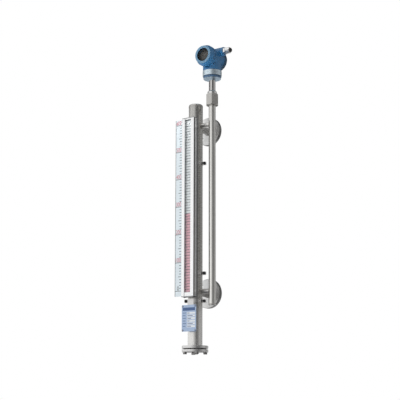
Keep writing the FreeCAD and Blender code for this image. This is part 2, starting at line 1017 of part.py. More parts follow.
def head_housing():
    """One casting: barrel, neck, two cable entries and the lock screw boss, bored out."""
    set_length = shoulder_r + set_screw_boss
    set_boss = rod(set_screw_boss_d, set_screw_mouth(), -set_screw_axis(), set_length)
    solid = barrel_casting().multiFuse([neck_casting(), conduit_boss(1), conduit_boss(-1), set_boss])
    front_depth = barrel_front - divider_front
    rear_wall = -divider_front + divider_thickness
    bore_r = base_spigot_d / 2 + moving_gap
    neck_depth = barrel_rise - barrel_bore / 2 - neck_bore_roof
    way_spot = head_centre + V(0, -wire_way_ahead, neck_foot)
    hollows = [
        along_barrel(Part.makeCylinder(barrel_bore / 2, front_depth), -barrel_front),
        along_barrel(Part.makeCylinder(barrel_bore / 2, barrel_rear - rear_wall), rear_wall),
        raised(Part.makeCylinder(bore_r, neck_depth), neck_foot, sensor_offset),
        rod(wire_way_d, way_spot, Z_AXIS, barrel_rise - barrel_bore / 2 + wire_way_d),
        rod(set_screw_d + 2 * seat_gap, set_screw_mouth(), -set_screw_axis(), set_length),
    ]
    for side in (1, -1):
        hollows.append(rod(conduit_bore, conduit_mouth(side), X_AXIS * -side, conduit_reach))
    solid = solid.cut(hollows[0].multiFuse(hollows[1:]))
    posts = []
    for spot in board_post_spots():
        posts.append(rod(board_post_d, spot, -Y_AXIS, board_post))
    return solid.multiFuse(posts)


def board_post_spots():
    """Feet of the posts that carry the circuit board, on the divider."""
    circle_r = circuit_board_r - board_post_d / 2 - board_post_inset
    spots = around(board_post_count, circle_r, diagonal(board_post_count))
    return [barrel_centre + V(p.x, -divider_front, p.y) for p in spots]


def set_screw():
    """Socket set screw that locks the head's turn."""
    start = set_screw_mouth() - set_screw_axis() * set_screw_recess
    return rod(set_screw_d, start, -set_screw_axis(), set_screw_length)


# Covers


def lobed(cover, foot, rim):
    """Scallop a cover's rim for grip."""
    spot_r = cover_od / 2 - cover_lobe_depth + cover_lobe_d / 2
    cutters = []
    for spot in around(cover_lobes, spot_r):
        cutters.append(rod(cover_lobe_d, spot + V(0, 0, foot), Z_AXIS, rim))
    return cover.cut(cutters[0].multiFuse(cutters[1:]))


def spigot_profile():
    """Radii of a cover's threaded spigot: bore and thread."""
    thread_r = barrel_bore / 2 - thread_gap
    return thread_r - cover_spigot_wall, thread_r


def glass_stack():
    """Depth from the display cover's face to the back of the ring behind its glass."""
    clearances = 3 * seat_gap
    return window_lip + glass_gasket_thickness + glass_disc_thickness + glass_ring_height + clearances


def display_cover():
    """Screwed cover with a window: spigot, scalloped rim, tapered nose and a stepped seat for the glass."""
    bore_r, thread_r = spigot_profile()
    rim_r = cover_od / 2
    face_r = display_cover_face_od / 2
    length = display_cover_length
    glass_r = glass_disc_r + seat_gap
    cover = turned([
        (bore_r, -cover_spigot),
        (thread_r, -cover_spigot),
        (thread_r, 0),
        (rim_r - cover_edge, 0),
        (rim_r, cover_edge),
        (rim_r, display_cover_rim),
        (face_r, length),
        (window_d / 2, length),
        (window_d / 2, length - window_lip),
        (glass_r, length - window_lip),
        (glass_r, length - glass_stack()),
        (bore_r, length - glass_stack()),
    ])
    cover = lobed(cover, 0, display_cover_rim)
    return aimed(cover, barrel_centre + V(0, -barrel_front - cover_gap, 0), -Y_AXIS)


def behind_window(depth, shape):
    """Place a shape drawn along Z at a depth behind the display cover's face, pointing forward."""
    front = -barrel_front - cover_gap - display_cover_length
    return aimed(shape, barrel_centre + V(0, front + depth, 0), -Y_AXIS)


def glass_gasket():
    """Flat ring between the window's lip and the glass."""
    depth = window_lip + seat_gap + glass_gasket_thickness
    return behind_window(depth, ring(window_d / 2, glass_disc_r, glass_gasket_thickness))


def display_glass():
    """Toughened glass disc."""
    depth = window_lip + 2 * seat_gap + glass_gasket_thickness + glass_disc_thickness
    return behind_window(depth, Part.makeCylinder(glass_disc_r, glass_disc_thickness))


def glass_ring():
    """Screwed ring that holds the glass from inside."""
    return behind_window(glass_stack(), ring(window_d / 2, glass_disc_r, glass_ring_height))


def terminal_cover():
    """Blind screwed cover with a scalloped rim and a low crown."""
    bore_r, thread_r = spigot_profile()
    rim_r = cover_od / 2
    rim = terminal_cover_length - terminal_cover_crown
    cover = turned([
        (bore_r, -cover_spigot),
        (thread_r, -cover_spigot),
        (thread_r, 0),
        (rim_r - cover_edge, 0),
        (rim_r, cover_edge),
        (rim_r, rim),
        (terminal_cover_crown_od / 2, terminal_cover_length),
        (0, terminal_cover_length),
        (0, terminal_cover_length - terminal_cover_wall),
        (bore_r, terminal_cover_length - terminal_cover_wall),
    ])
    return along_barrel(lobed(cover, 0, rim), barrel_rear + cover_gap)


def cover_seal(mouth, direction):
    """Flat seal on a cover's shoulder, just clear of the barrel's mouth."""
    inner_r = barrel_bore / 2
    seal = raised(ring(inner_r, inner_r + seal_width, seal_thickness), cover_gap - seat_gap - seal_thickness)
    frame = FreeCAD.Placement(barrel_centre + V(0, mouth, 0), FreeCAD.Rotation(Z_AXIS, direction))
    return seal.transformed(frame.toMatrix())


# Display, electronics and terminals


def electronics_board():
    """Round circuit board on the housing's posts."""
    board = Part.makeCylinder(circuit_board_r, circuit_board_thickness)
    face = barrel_centre + V(0, -divider_front - board_post, 0)
    return aimed(board, face, -Y_AXIS)


def display_module():
    """Round display with a sunk window, on legs that stand on the circuit board."""
    front = barrel_front + cover_gap + display_cover_length - glass_stack() - display_behind_glass
    back = front - display_depth
    board_front = divider_front + board_post + circuit_board_thickness
    body = aimed(Part.makeCylinder(display_r, display_depth), barrel_centre + V(0, -back, 0), -Y_AXIS)
    sunk_foot = barrel_centre + V(0, -front, -display_window_height / 2)
    sunk = box_about(sunk_foot, display_window_width, 2 * display_window_depth, display_window_height)
    legs = []
    for spot in around(board_post_count, display_r - display_leg_d, diagonal(board_post_count)):
        foot = barrel_centre + V(spot.x, -board_front, spot.y)
        legs.append(rod(display_leg_d, foot, -Y_AXIS, back - board_front))
    return body.cut(sunk).multiFuse(legs)


def terminal_slots():
    """Middle of each terminal across the block."""
    pitch = terminal_block_width / terminal_count
    return [(i - (terminal_count - 1) / 2) * pitch for i in range(terminal_count)]


def terminal_block():
    """Moulded block on the divider, with a walled bay for each terminal."""
    face = -divider_front + divider_thickness
    foot = barrel_centre + V(0, face + terminal_block_depth / 2, -terminal_block_height / 2)
    block = box_about(foot, terminal_block_width, terminal_block_depth, terminal_block_height)
    bay = terminal_block_width / terminal_count - terminal_wall
    for x in terminal_slots():
        base = foot + V(x, terminal_block_depth / 2 - terminal_slot_depth / 2, terminal_wall)
        block = block.cut(box_about(base, bay, terminal_slot_depth, terminal_block_height))
    return block


# Cable entries


def gland_body():
    """Gland body: thread in the entry, hexagon outside and a sleeve for the nut."""
    thread = rod(2 * gland_thread_r, V(0, 0, 0), -Z_AXIS, conduit_thread_depth)
    sleeve = rod(gland_sleeve_d, V(0, 0, gland_hex), Z_AXIS, gland_sleeve)
    body = hexagon(gland_flats, gland_hex).multiFuse([thread, sleeve])
    length = conduit_thread_depth + gland_hex + gland_sleeve
    body = body.cut(rod(gland_bore, V(0, 0, -conduit_thread_depth), Z_AXIS, length))
    return aimed(body, conduit_mouth(1), X_AXIS)


def gland_nut():
    """Domed gland nut."""
    mouth_r = gland_nut_mouth / 2
    sleeve_r = gland_sleeve_d / 2 + seat_gap
    outer_r = sleeve_r + gland_nut_wall
    lip = gland_nut_length - gland_nut_lip
    nut = turned([
        (sleeve_r, 0),
        (outer_r, 0),
        (outer_r, gland_nut_length - gland_nut_round),
        (outer_r - gland_nut_round, gland_nut_length),
        (mouth_r, gland_nut_length),
        (mouth_r, lip),
        (sleeve_r, lip),
    ])
    return aimed(nut, conduit_mouth(1) + X_AXIS * (gland_hex + seat_gap), X_AXIS)


def gland_plug():
    """Black sealing plug held by the gland nut, standing proud of its mouth."""
    stem_r = gland_nut_mouth / 2 - seat_gap
    seat = gland_hex + gland_sleeve + seat_gap
    collar = gland_nut_length - gland_nut_lip - gland_sleeve - seat_gap
    length = collar + gland_nut_lip + gland_plug_proud
    plug = turned([
        (0, 0),
        (gland_sleeve_d / 2 - seat_gap, 0),
        (gland_sleeve_d / 2 - seat_gap, collar),
        (stem_r, collar),
        (stem_r, length - gland_plug_collar),
        (stem_r - gland_plug_collar, length),
        (0, length),
    ])
    return aimed(plug, conduit_mouth(1) + X_AXIS * seat, X_AXIS)


def blanking_plug():
    """Threaded plug with a hexagon socket in the unused entry."""
    flange = rod(blank_flange_od, V(0, 0, 0), Z_AXIS, blank_flange)
    plug = flange.fuse(rod(2 * gland_thread_r, V(0, 0, 0), -Z_AXIS, conduit_thread_depth))
    socket = hexagon(blank_socket_flats, blank_socket_depth)
    plug = plug.cut(raised(socket, blank_flange - blank_socket_depth))
    return aimed(plug, conduit_mouth(-1), -X_AXIS)


# Export of every node, with the origin on the lower flange's bolting face

nodes = {
    "chamber_tube": chamber_tube(),
    "chamber_top_cap": chamber_top_cap(),
    "lower_nozzle": nozzle(0),
    "upper_nozzle": nozzle(centre_distance),
    "lower_process_flange": process_flange(0),
    "upper_process_flange": process_flange(centre_distance),
    "drain_flange_ring": drain_flange_ring(),
    "drain_gasket": drain_gasket(),
    "drain_blind_flange": drain_blind_flange(),
    "drain_bolts": drain_bolts(),
    "drain_plug": drain_plug(),
    "float_shell": float_shell(),
    "float_magnet": float_magnet(),
    "indicator_channel": indicator_channel(),
    "indicator_bottom_cap": indicator_bottom_cap(),
    "indicator_top_cap": indicator_cap(channel_head - channel_cap),
    "indicator_window": indicator_window(),
    "red_flap_rack": red_flap_rack(),
    "white_flap_rack": white_flap_rack(),
    "scale_plate": scale_plate(),
    "upper_clamp_band": clamp_band(upper_band_level),
    "lower_clamp_band": clamp_band(lower_band_level),
    "nameplate_clamp_front": nameplate_clamp(True),
    "nameplate_clamp_rear": nameplate_clamp(False),
    "clamp_screws": clamp_screws(),
    "nameplate_bracket": nameplate_bracket(),
    "nameplate": nameplate(),
    "sensor_tube": sensor_tube(),
    "sensor_tube_end_plug": sensor_end(),
    "lower_standoff": standoff(0),
    "upper_standoff": standoff(centre_distance),
    "reed_chain_board": reed_chain_board(),
    "union_nut": union_nut(),
    "union_tail_ring": union_tail_ring(),
    "union_body": union_body(),
    "stem_pipe": stem_pipe(),
    "head_base": head_base(),
    "neck_band": neck_band(),
    "head_housing": head_housing(),
    "housing_lock_screw": set_screw(),
    "display_cover": display_cover(),
    "display_cover_seal": cover_seal(-barrel_front, -Y_AXIS),
    "glass_gasket": glass_gasket(),
    "display_glass": display_glass(),
    "glass_retaining_ring": glass_ring(),
    "display_module": display_module(),
    "electronics_board": electronics_board(),
    "terminal_block": terminal_block(),
    "terminal_cover": terminal_cover(),
    "terminal_cover_seal": cover_seal(barrel_rear, Y_AXIS),
    "gland_body": gland_body(),
    "gland_nut": gland_nut(),
    "gland_plug": gland_plug(),
    "blanking_plug": blanking_plug(),
}

os.makedirs("parts", exist_ok=True)
for name, shape in nodes.items():
    shape.translated(V(0, -axis_to_bolting_face, 0)).exportStep("parts/" + name + ".step")
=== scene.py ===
import math

import bmesh
import bpy
from mathutils import Matrix, Quaternion, Vector


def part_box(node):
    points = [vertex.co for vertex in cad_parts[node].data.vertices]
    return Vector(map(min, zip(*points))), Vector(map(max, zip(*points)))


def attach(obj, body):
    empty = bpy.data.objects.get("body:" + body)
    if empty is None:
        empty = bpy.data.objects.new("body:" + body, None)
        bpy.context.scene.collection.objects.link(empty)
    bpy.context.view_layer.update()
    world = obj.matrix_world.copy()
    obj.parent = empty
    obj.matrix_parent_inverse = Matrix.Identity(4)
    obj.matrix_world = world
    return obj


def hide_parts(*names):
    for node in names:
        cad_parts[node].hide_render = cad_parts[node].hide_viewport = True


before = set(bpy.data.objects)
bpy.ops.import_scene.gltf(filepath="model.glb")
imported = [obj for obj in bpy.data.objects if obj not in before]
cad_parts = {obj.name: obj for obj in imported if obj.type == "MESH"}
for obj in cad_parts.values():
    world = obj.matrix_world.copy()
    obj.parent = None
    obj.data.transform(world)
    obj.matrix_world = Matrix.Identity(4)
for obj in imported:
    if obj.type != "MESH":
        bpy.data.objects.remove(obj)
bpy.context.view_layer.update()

# Float chamber: a seamless stainless tube, belt-polished round and round, closed by a pressed end
# cap, its colour painted darker above the nameplate as painted shade. Two branch pipes are let
# into its back, and every joint is TIG welded with a fine rippled bead.
mm = 0.001
same_place = 1e-6
noise_range = (0.3, 0.7)
chamber_low, chamber_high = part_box("chamber_tube")
chamber_axis = (chamber_low + chamber_high) / 2
chamber_r = (chamber_high.x - chamber_low.x) / 2


def shader_of(material):
    """The shader behind a finish."""
    return material.node_tree.nodes["Principled BSDF"]


def all_over(material, **values):
    """Set what is the same all over on the shader's own sockets."""
    for key, value in values.items():
        shader_of(material).inputs[key.replace("_", " ")].default_value = value


def finish(name, colour, metallic, roughness):
    """A new material of one colour and sheen, to be worked up from there."""
    material = bpy.data.materials.new(name)
    material.use_nodes = True
    all_over(material, Base_Color=(*colour, 1), Metallic=metallic, Roughness=roughness)
    return material


def put(material, kind, settings=None, **inputs):
    """Add a shader node; an input, by name or as i0 and i1, takes a value or another's output."""
    tree = material.node_tree
    made = tree.nodes.new("ShaderNode" + kind)
    for key, value in (settings or {}).items():
        setattr(made, key, value)
    for key, value in inputs.items():
        name = key.replace("_", " ")
        socket = made.inputs[int(name[1:])] if name[1:].isdigit() else made.inputs[name]
        if isinstance(value, bpy.types.NodeSocket):
            tree.links.new(value, socket)
        else:
            socket.default_value = value
    return made


def lead(material, output, name):
    """Lead a node's output to the shader."""
    material.node_tree.links.new(output, shader_of(material).inputs[name])


def place_on(material):
    """Place on the piece, in the part's own coordinates."""
    return put(material, "TexCoord").outputs["Object"]


def along(material, place, letter):
    """One coordinate of a place."""
    return put(material, "SeparateXYZ", Vector=place).outputs[letter]


def grain(material, marks, detail=3.0):
    """Noise over the piece, so many marks to the metre along each axis or along all alike."""
    stretch = marks if isinstance(marks, tuple) else (marks, marks, marks)
    place = place_on(material)
    stretched = put(material, "Mapping", Vector=place, Scale=stretch).outputs["Vector"]
    return put(material, "TexNoise", Vector=stretched, Scale=1.0, Detail=detail).outputs["Fac"]


def ranged(material, value, low, high, first=0.0, last=1.0):
    """Carry a value over from one range to another."""
    ends = {"From_Min": low, "From_Max": high, "To_Min": first, "To_Max": last}
    return put(material, "MapRange", Value=value, **ends).outputs["Result"]


def tone(material, factor, first, second, blend="MIX"):
    """Shade the base colour from one tone to another; a first tone of None is the one so far."""
    base = shader_of(material).inputs["Base Color"]
    start = (*first, 1) if first else base.links[0].from_socket
    settings = {"blend_type": blend}
    mixed = put(material, "MixRGB", settings, Fac=factor, Color1=start, Color2=(*second, 1))
    lead(material, mixed.outputs["Color"], "Base Color")


def clouded(material, factor, colour, darker, lighter):
    """Shade the base colour between a darker and a lighter tone of it."""
    dark, light = ([min(part * share, 1.0) for part in colour] for share in (darker, lighter))
    tone(material, factor, dark, light)


def speckled(name, colour, metallic, roughness, marks, dark, light):
    """A new finish with a fine speck between two tones."""
    made = finish(name, colour, metallic, roughness)
    tone(made, grain(made, marks), dark, light)
    return made


def sheen(material, factor, smooth, rough):
    """Vary the roughness between two values over the noise's usual range."""
    lead(material, ranged(material, factor, *noise_range, smooth, rough), "Roughness")


def relief(material, height, depth, strength):
    """Raise the surface's fine marks."""
    bump = put(material, "Bump", Height=height, Distance=depth, Strength=strength)
    lead(material, bump.outputs["Normal"], "Normal")


def ground_steel(name, colour, roughness, marks):
    """Ground stainless steel: fine marks along one way, and a faint cloudiness of the tone."""
    steel = finish(name, colour, 1.0, roughness)
    lines = grain(steel, marks)
    clouded(steel, grain(steel, (16, 16, 9), 2.0), colour, 0.92, 1.05)
    sheen(steel, lines, roughness * 0.75, roughness * 1.3)
    relief(steel, lines, 0.05 * mm, 0.12)
    return steel


def dress(material, *names):
    """Give CAD pieces their finish."""
    for name in names:
        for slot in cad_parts[name].material_slots:
            slot.material = material


def spun(profile, steps=72):
    """Surface of revolution about Z from a closed loop of (radius, height) corners."""
    shape = bmesh.new()
    corners = [shape.verts.new((radius, 0, height)) for radius, height in profile]
    edges = [shape.edges.new(pair) for pair in zip(corners, corners[1:] + corners[:1])]
    bmesh.ops.spin(
        shape, geom=corners + edges,
        cent=(0, 0, 0), axis=(0, 0, 1), angle=2 * math.pi, steps=steps,
    )
    bmesh.ops.remove_doubles(shape, verts=shape.verts, dist=same_place)
    wires = [edge for edge in shape.edges if not edge.link_faces]
    bmesh.ops.delete(shape, geom=wires, context="EDGES")
    return shape


def arc(centre, radius, start, end, steps=8):
    """Corners of a round stretch of a profile, between two angles in degrees."""
    angles = [math.radians(start + (end - start) * i / steps) for i in range(steps + 1)]
    return [(centre[0] + radius * math.cos(a), centre[1] + radius * math.sin(a)) for a in angles]


def placed(shape, centre, axis=(0, 0, 1)):
    """Turn a shape drawn along Z to point along an axis, and move it to its place."""
    turn = Vector((0, 0, 1)).rotation_difference(Vector(axis)).to_matrix().to_4x4()
    shape.transform(Matrix.Translation(centre) @ turn)
    return shape


def meshed(name, shape):
    """A mesh from a finished shape."""
    mesh = bpy.data.meshes.new(name)
    shape.to_mesh(mesh)
    shape.free()
    return mesh


def shown(name, data):
    """A new object in the scene with a mesh, a lamp or a camera as its data."""
    made = bpy.data.objects.new(name, data)
    bpy.context.scene.collection.objects.link(made)
    return made


def joined(shapes):
    """Several shapes as one."""
    whole = bmesh.new()
    for shape in shapes:
        part = meshed("part", shape)
        whole.from_mesh(part)
        bpy.data.meshes.remove(part)
    return whole


def piece(name, shape, material, body="gauge", sharp=32):
    """A new piece with soft shading up to a sharp angle, riding on a body."""
    bmesh.ops.recalc_face_normals(shape, faces=shape.faces)
    mesh = meshed(name, shape)
    mesh.shade_smooth()
    mesh.set_sharp_from_angle(angle=math.radians(sharp))
    mesh.materials.append(material)
    made = shown(name, mesh)
    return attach(made, body)


def bead(route, size, ripples, steps=200):
    """Rippled weld bead on a closed route: route(angle) gives a point and its outward way."""
    sides = 8
    nearby = 0.01
    ripple_share, drift_share, drifts = 0.16, 0.05, 5
    shape = bmesh.new()
    rings = []
    for i in range(steps):
        angle = 2 * math.pi * i / steps
        point, out = route(angle)
        onward = route(angle + nearby)[0] - route(angle - nearby)[0]
        side = onward.normalized().cross(out).normalized()
        ripple = ripple_share * math.sin(ripples * angle)
        drift = drift_share * math.sin(drifts * angle)
        swell = size * (1 + ripple + drift)
        ring = []
        for k in range(sides):
            turn = 2 * math.pi * k / sides
            reach = swell * (out * math.cos(turn) + side * math.sin(turn))
            ring.append(shape.verts.new(point + reach))
        rings.append(ring)
    for ring, following in zip(rings, rings[1:] + rings[:1]):
        for k in range(sides):
            shape.faces.new((ring[k], ring[k - 1], following[k - 1], following[k]))
    return shape


def round_route(centre, axis, radius, slope=0.5):
    """Route round an axis; slope tips the bead's outward way towards the axis' end."""
    way = Vector(axis)
    across = way.orthogonal().normalized()
    other = way.cross(across)

    def route(angle):
        out = across * math.cos(angle) + other * math.sin(angle)
        return Vector(centre) + out * radius, (out + way * slope).normalized()

    return route


def saddle_route(centre, axis, pipe_r, main_r, slope=0.6):
    """Route where a pipe along a level axis meets an upright tube."""
    way = Vector(axis)
    level = way.cross(Vector((0, 0, 1)))

    def route(angle):
        out = level * math.cos(angle) + Vector((0, 0, 1)) * math.sin(angle)
        reach = math.sqrt(main_r ** 2 - (pipe_r * math.cos(angle)) ** 2)
        return Vector(centre) + out * pipe_r + way * reach, (out + way * slope).normalized()

    return route


def on_chamber(z):
    """Point on the chamber's axis at a height."""
    return Vector((chamber_axis.x, chamber_axis.y, z))


chamber_colour = (0.80, 0.79, 0.77)
# Painted shade: the chamber's colour is multiplied darker from the nameplate upward.
chamber_painted_shade = (0.67, 0.67, 0.66)
shade_foot, shade_head = -75 * mm, -35 * mm
chamber_finish = ground_steel("chamber_steel", chamber_colour, 0.26, (60, 60, 2200))
chamber_height = along(chamber_finish, place_on(chamber_finish), "Z")
painted_shade_share = ranged(chamber_finish, chamber_height, shade_foot, shade_head)
tone(chamber_finish, painted_shade_share, None, chamber_painted_shade, "MULTIPLY")
dress(chamber_finish, "chamber_tube")
branch_finish = ground_steel("branch_steel", (0.62, 0.61, 0.60), 0.32, (1500, 60, 1500))
dress(branch_finish, "lower_nozzle", "upper_nozzle")

cap_low, cap_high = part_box("chamber_top_cap")
cap_round = 5.5 * mm
cap_wall = 4 * mm
cap_flat_r = chamber_r * 0.45
cap_crown = 0.02 * mm
cap_rim = chamber_high.z - cap_low.z
cap_top = cap_high.z - cap_low.z
cap_inside = cap_top - cap_wall
cap_profile = arc((chamber_r - cap_round, cap_top - cap_round), cap_round, 0, 80)
cap_profile += [(cap_flat_r, cap_top - cap_crown), (0, cap_top), (0, cap_inside)]
cap_profile += [(chamber_r - 2 * cap_wall, cap_inside), (chamber_r - cap_wall, cap_rim)]
cap_profile += [(chamber_r, cap_rim)]
cap_shape = placed(spun(cap_profile, 96), on_chamber(cap_low.z))
cap = piece("end_cap", cap_shape, chamber_finish)
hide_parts("chamber_top_cap")

weld_finish = speckled(
    "weld_metal", (0.50, 0.47, 0.43), 1.0, 0.34, 120, (0.40, 0.35, 0.30), (0.58, 0.56, 0.55),
)
sheen(weld_finish, grain(weld_finish, 120), 0.26, 0.44)
relief(weld_finish, grain(weld_finish, 700), 0.1 * mm, 0.3)
weld_size = 1.3 * mm
weld_ripples = 60
weld_sharp = 60
weld_stand = 0.4 * mm
cap_weld_sunk, tube_weld_sunk = 0.7 * mm, 0.6 * mm
up = (0, 0, 1)
tube_low, tube_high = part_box("sensor_tube")
tube_r = (tube_high.y - tube_low.y) / 2
tube_x = (tube_low.x + tube_high.x) / 2
cap_seam = on_chamber(chamber_high.z)
welds = {"cap_weld": round_route(cap_seam, up, chamber_r - cap_weld_sunk, 0.0)}
for level in ("lower", "upper"):
    pipe_low, pipe_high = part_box(level + "_nozzle")
    pipe_r = (pipe_high.x - pipe_low.x) / 2
    pipe_z = (pipe_low.z + pipe_high.z) / 2
    branch_centre = on_chamber(pipe_z)
    welds[level + "_nozzle_weld"] = saddle_route(branch_centre, (0, 1, 0), pipe_r, chamber_r)
    neck = Vector((chamber_axis.x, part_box(level + "_process_flange")[0].y, pipe_z))
    welds[level + "_flange_weld"] = round_route(neck, (0, -1, 0), pipe_r + weld_stand)
    bar_low, bar_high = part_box(level + "_standoff")
    bar_r = (bar_high.z - bar_low.z) / 2
    tube_centre = Vector((tube_x, chamber_axis.y, pipe_z))
    welds[level + "_standoff_weld"] = saddle_route(branch_centre, (1, 0, 0), bar_r, chamber_r)
    welds[level + "_tube_weld"] = saddle_route(tube_centre, (-1, 0, 0), bar_r, tube_r)
drain_seam = on_chamber(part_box("drain_flange_ring")[1].z)
welds["drain_ring_weld"] = round_route(drain_seam, up, chamber_r + weld_stand)
tube_seam = Vector((tube_x, chamber_axis.y, tube_low.z))
welds["tube_end_weld"] = round_route(tube_seam, up, tube_r - tube_weld_sunk, 0.0)
for name, route in welds.items():
    slot = "sensor_steel" if "tube" in name else "chamber_steel"
    piece(name, bead(route, weld_size, weld_ripples), weld_finish, sharp=weld_sharp)

# Process flanges: forged discs, faced and turned on a lathe, drilled for four bolts.
# The lathe's rings draw the light out across the faces; rims and hole walls get painted shade.
flange_colour = (0.87, 0.87, 0.865)
# Painted shade for the flange rims and the walls of the bolt holes.
rim_and_hole_shade = (0.26, 0.257, 0.252)
rim_edge = 1.2 * mm
bolt_hole_offset = 26.5 * mm
bolt_hole_r = 7 * mm
hole_edge = 0.2 * mm
lathe_marks = 4200.0
lathe_lay = 0.8


def vector_sum(material, operation, first, second=(0, 0, 0)):
    """A step of reckoning with places on a piece."""
    settings = {"operation": operation}
    return put(material, "VectorMath", settings, i0=first, i1=tuple(second)).outputs["Vector"]


def reckoned(material, operation, first, second):
    """A step of reckoning with two numbers."""
    return put(material, "Math", {"operation": operation}, i0=first, i1=second).outputs["Value"]


def off_axis(material, centre, axis_letter):
    """Place on a piece, measured from a centre and square to an axis."""
    keep = [0.0 if letter == axis_letter else 1.0 for letter in "XYZ"]
    from_centre = vector_sum(material, "SUBTRACT", place_on(material), centre)
    return vector_sum(material, "MULTIPLY", from_centre, keep)


def span(material, vector):
    """Length of a measured place."""
    return put(material, "VectorMath", {"operation": "LENGTH"}, i0=vector).outputs["Value"]


def painted_over(material, compare, measure, limit, colour):
    """Another tone where a measure is greater or less than a limit."""
    tone(material, reckoned(material, compare, measure, limit), None, colour)


def turned_steel(name, colour, roughness, centre, axis_letter):
    """Lathe-turned steel: fine rings round an axis through a centre."""
    steel = finish(name, colour, 1.0, roughness)
    radius = span(steel, off_axis(steel, centre, axis_letter))
    phase = reckoned(steel, "MULTIPLY", radius, lathe_marks)
    one_way = {"noise_dimensions": "1D"}
    rings = put(steel, "TexNoise", one_way, W=phase, Scale=1.0, Detail=2.0).outputs["Fac"]
    clouded(steel, grain(steel, 22, 2.0), colour, 0.82, 1.1)
    sheen(steel, rings, roughness - 0.08, roughness + 0.08)
    relief(steel, rings, 0.06 * mm, 0.3)
    return steel


for level in ("lower", "upper"):
    flange_low, flange_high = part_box(level + "_process_flange")
    centre = (flange_low + flange_high) / 2
    rim_r = (flange_high.x - flange_low.x) / 2
    faced = turned_steel(level + "_flange_steel", flange_colour, 0.34, centre, "Y")
    off = off_axis(faced, centre, "Y")
    # Painted shade on the rim and in the bolt holes.
    painted_over(faced, "GREATER_THAN", span(faced, off), rim_r - rim_edge, rim_and_hole_shade)
    quarter = vector_sum(faced, "ABSOLUTE", off)
    hole_spot = (bolt_hole_offset, 0, bolt_hole_offset)
    from_hole = span(faced, vector_sum(faced, "SUBTRACT", quarter, hole_spot))
    painted_over(faced, "LESS_THAN", from_hole, bolt_hole_r + hole_edge, rim_and_hole_shade)
    lay = put(faced, "Tangent", {"direction_type": "RADIAL", "axis": "Y"}).outputs["Tangent"]
    lead(faced, lay, "Tangent")
    all_over(faced, Anisotropic=lathe_lay)
    dress(faced, level + "_process_flange")

# Drain joint: a welded ring and a blind flange of turned steel with a black gasket between.
# Four hexagon bolts come up from below on flat washers, and a hexagon plug closes the drain hole.
drain_finish = turned_steel("drain_flange_steel", (0.75, 0.745, 0.74), 0.26, chamber_axis, "Z")
dress(drain_finish, "drain_flange_ring", "drain_blind_flange")
gasket_finish = speckled(
    "gasket_fibre", (0.02, 0.02, 0.02), 0.0, 0.8, 900, (0.012, 0.012, 0.012), (0.035, 0.034, 0.032),
)
relief(gasket_finish, grain(gasket_finish, 900), 0.2 * mm, 0.4)
dress(gasket_finish, "drain_gasket")
bolt_finish = ground_steel("bolt_steel", (0.36, 0.355, 0.35), 0.36, 500)
dress(bolt_finish, "drain_plug")


def skinned(shape, rings):
    """Walls from each ring of corners to the next, and a face on both ends."""
    for ring, following in zip(rings, rings[1:]):
        for k in range(len(ring)):
            shape.faces.new((ring[k - 1], ring[k], following[k], following[k - 1]))
    shape.faces.new(rings[0])
    shape.faces.new(rings[-1])
    return shape


def hex_bar(flats, height):
    """Hexagon head along Z with its corners turned off at the top end."""
    sides, turned_share, face_share = 48, 0.8, 0.97
    corner_drop = turned_share * (flats / math.sqrt(3) - flats / 2)
    face_r = face_share * flats / 2
    sixth = math.pi / 3
    shape = bmesh.new()
    rings = []
    for z in (0, height - corner_drop, height):
        ring = []
        for i in range(sides):
            angle = 2 * math.pi * i / sides
            edge = flats / 2 / math.cos((angle + sixth / 2) % sixth - sixth / 2)
            radius = face_r if z == height else edge
            ring.append(shape.verts.new((radius * math.cos(angle), radius * math.sin(angle), z)))
        rings.append(ring)
    return skinned(shape, rings)


def threaded(radius, length, pitch, depth):
    """Round bar along Z with a thread's crests as close rings."""
    profile = [(0, 0)]
    for i in range(int(length / pitch)):
        profile += [(radius - depth, i * pitch), (radius, (i + 0.5) * pitch)]
    profile += [(radius - depth, length), (0, length)]
    return spun(profile, 32)


blind_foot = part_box("drain_blind_flange")[0].z
bolts_low, bolts_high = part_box("drain_bolts")
bolt_shank_r = 4 * mm
bolt_flats = 13 * mm
bolt_pitch, bolt_thread = 1.25 * mm, 0.5 * mm
bolt_circle = 72 * mm
bolt_spot = bolt_circle / 2 / math.sqrt(2)
washer_r = 8 * mm
washer_height = 1.2 * mm
washer_edge = 0.2 * mm
head_top = blind_foot - washer_height
washer_profile = [(bolt_shank_r, 0), (washer_r - washer_edge, 0), (washer_r, washer_edge)]
washer_profile += [(washer_r, washer_height), (bolt_shank_r, washer_height)]
bolts = []
washers = []
for sx in (-1, 1):
    for sy in (-1, 1):
        seat = on_chamber(head_top) + Vector((sx * bolt_spot, sy * bolt_spot, 0))
        bolts.append(placed(hex_bar(bolt_flats, head_top - bolts_low.z), seat, (0, 0, -1)))
        shank = threaded(bolt_shank_r, bolts_high.z - head_top, bolt_pitch, bolt_thread)
        bolts.append(placed(shank, seat))
        washers.append(placed(spun(washer_profile, 40), seat))
drain_bolts = piece("drain_bolt_set", joined(bolts), bolt_finish)
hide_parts("drain_bolts")
piece("drain_washers", joined(washers), drain_finish)

# Float: a sealed stainless shell with a ferrite ring magnet inside, loose in the chamber.
# It is drawn from thin sheet, and lies on the blind flange when the chamber is dry.
dress(ground_steel("float_steel", (0.62, 0.61, 0.60), 0.25, (60, 60, 1500)), "float_shell")
ferrite = speckled(
    "magnet_ferrite", (0.05, 0.05, 0.055), 0.3, 0.6, 1500, (0.03, 0.03, 0.032), (0.07, 0.07, 0.075),
)
relief(ferrite, grain(ferrite, 1500), 0.1 * mm, 0.3)
dress(ferrite, "float_magnet")
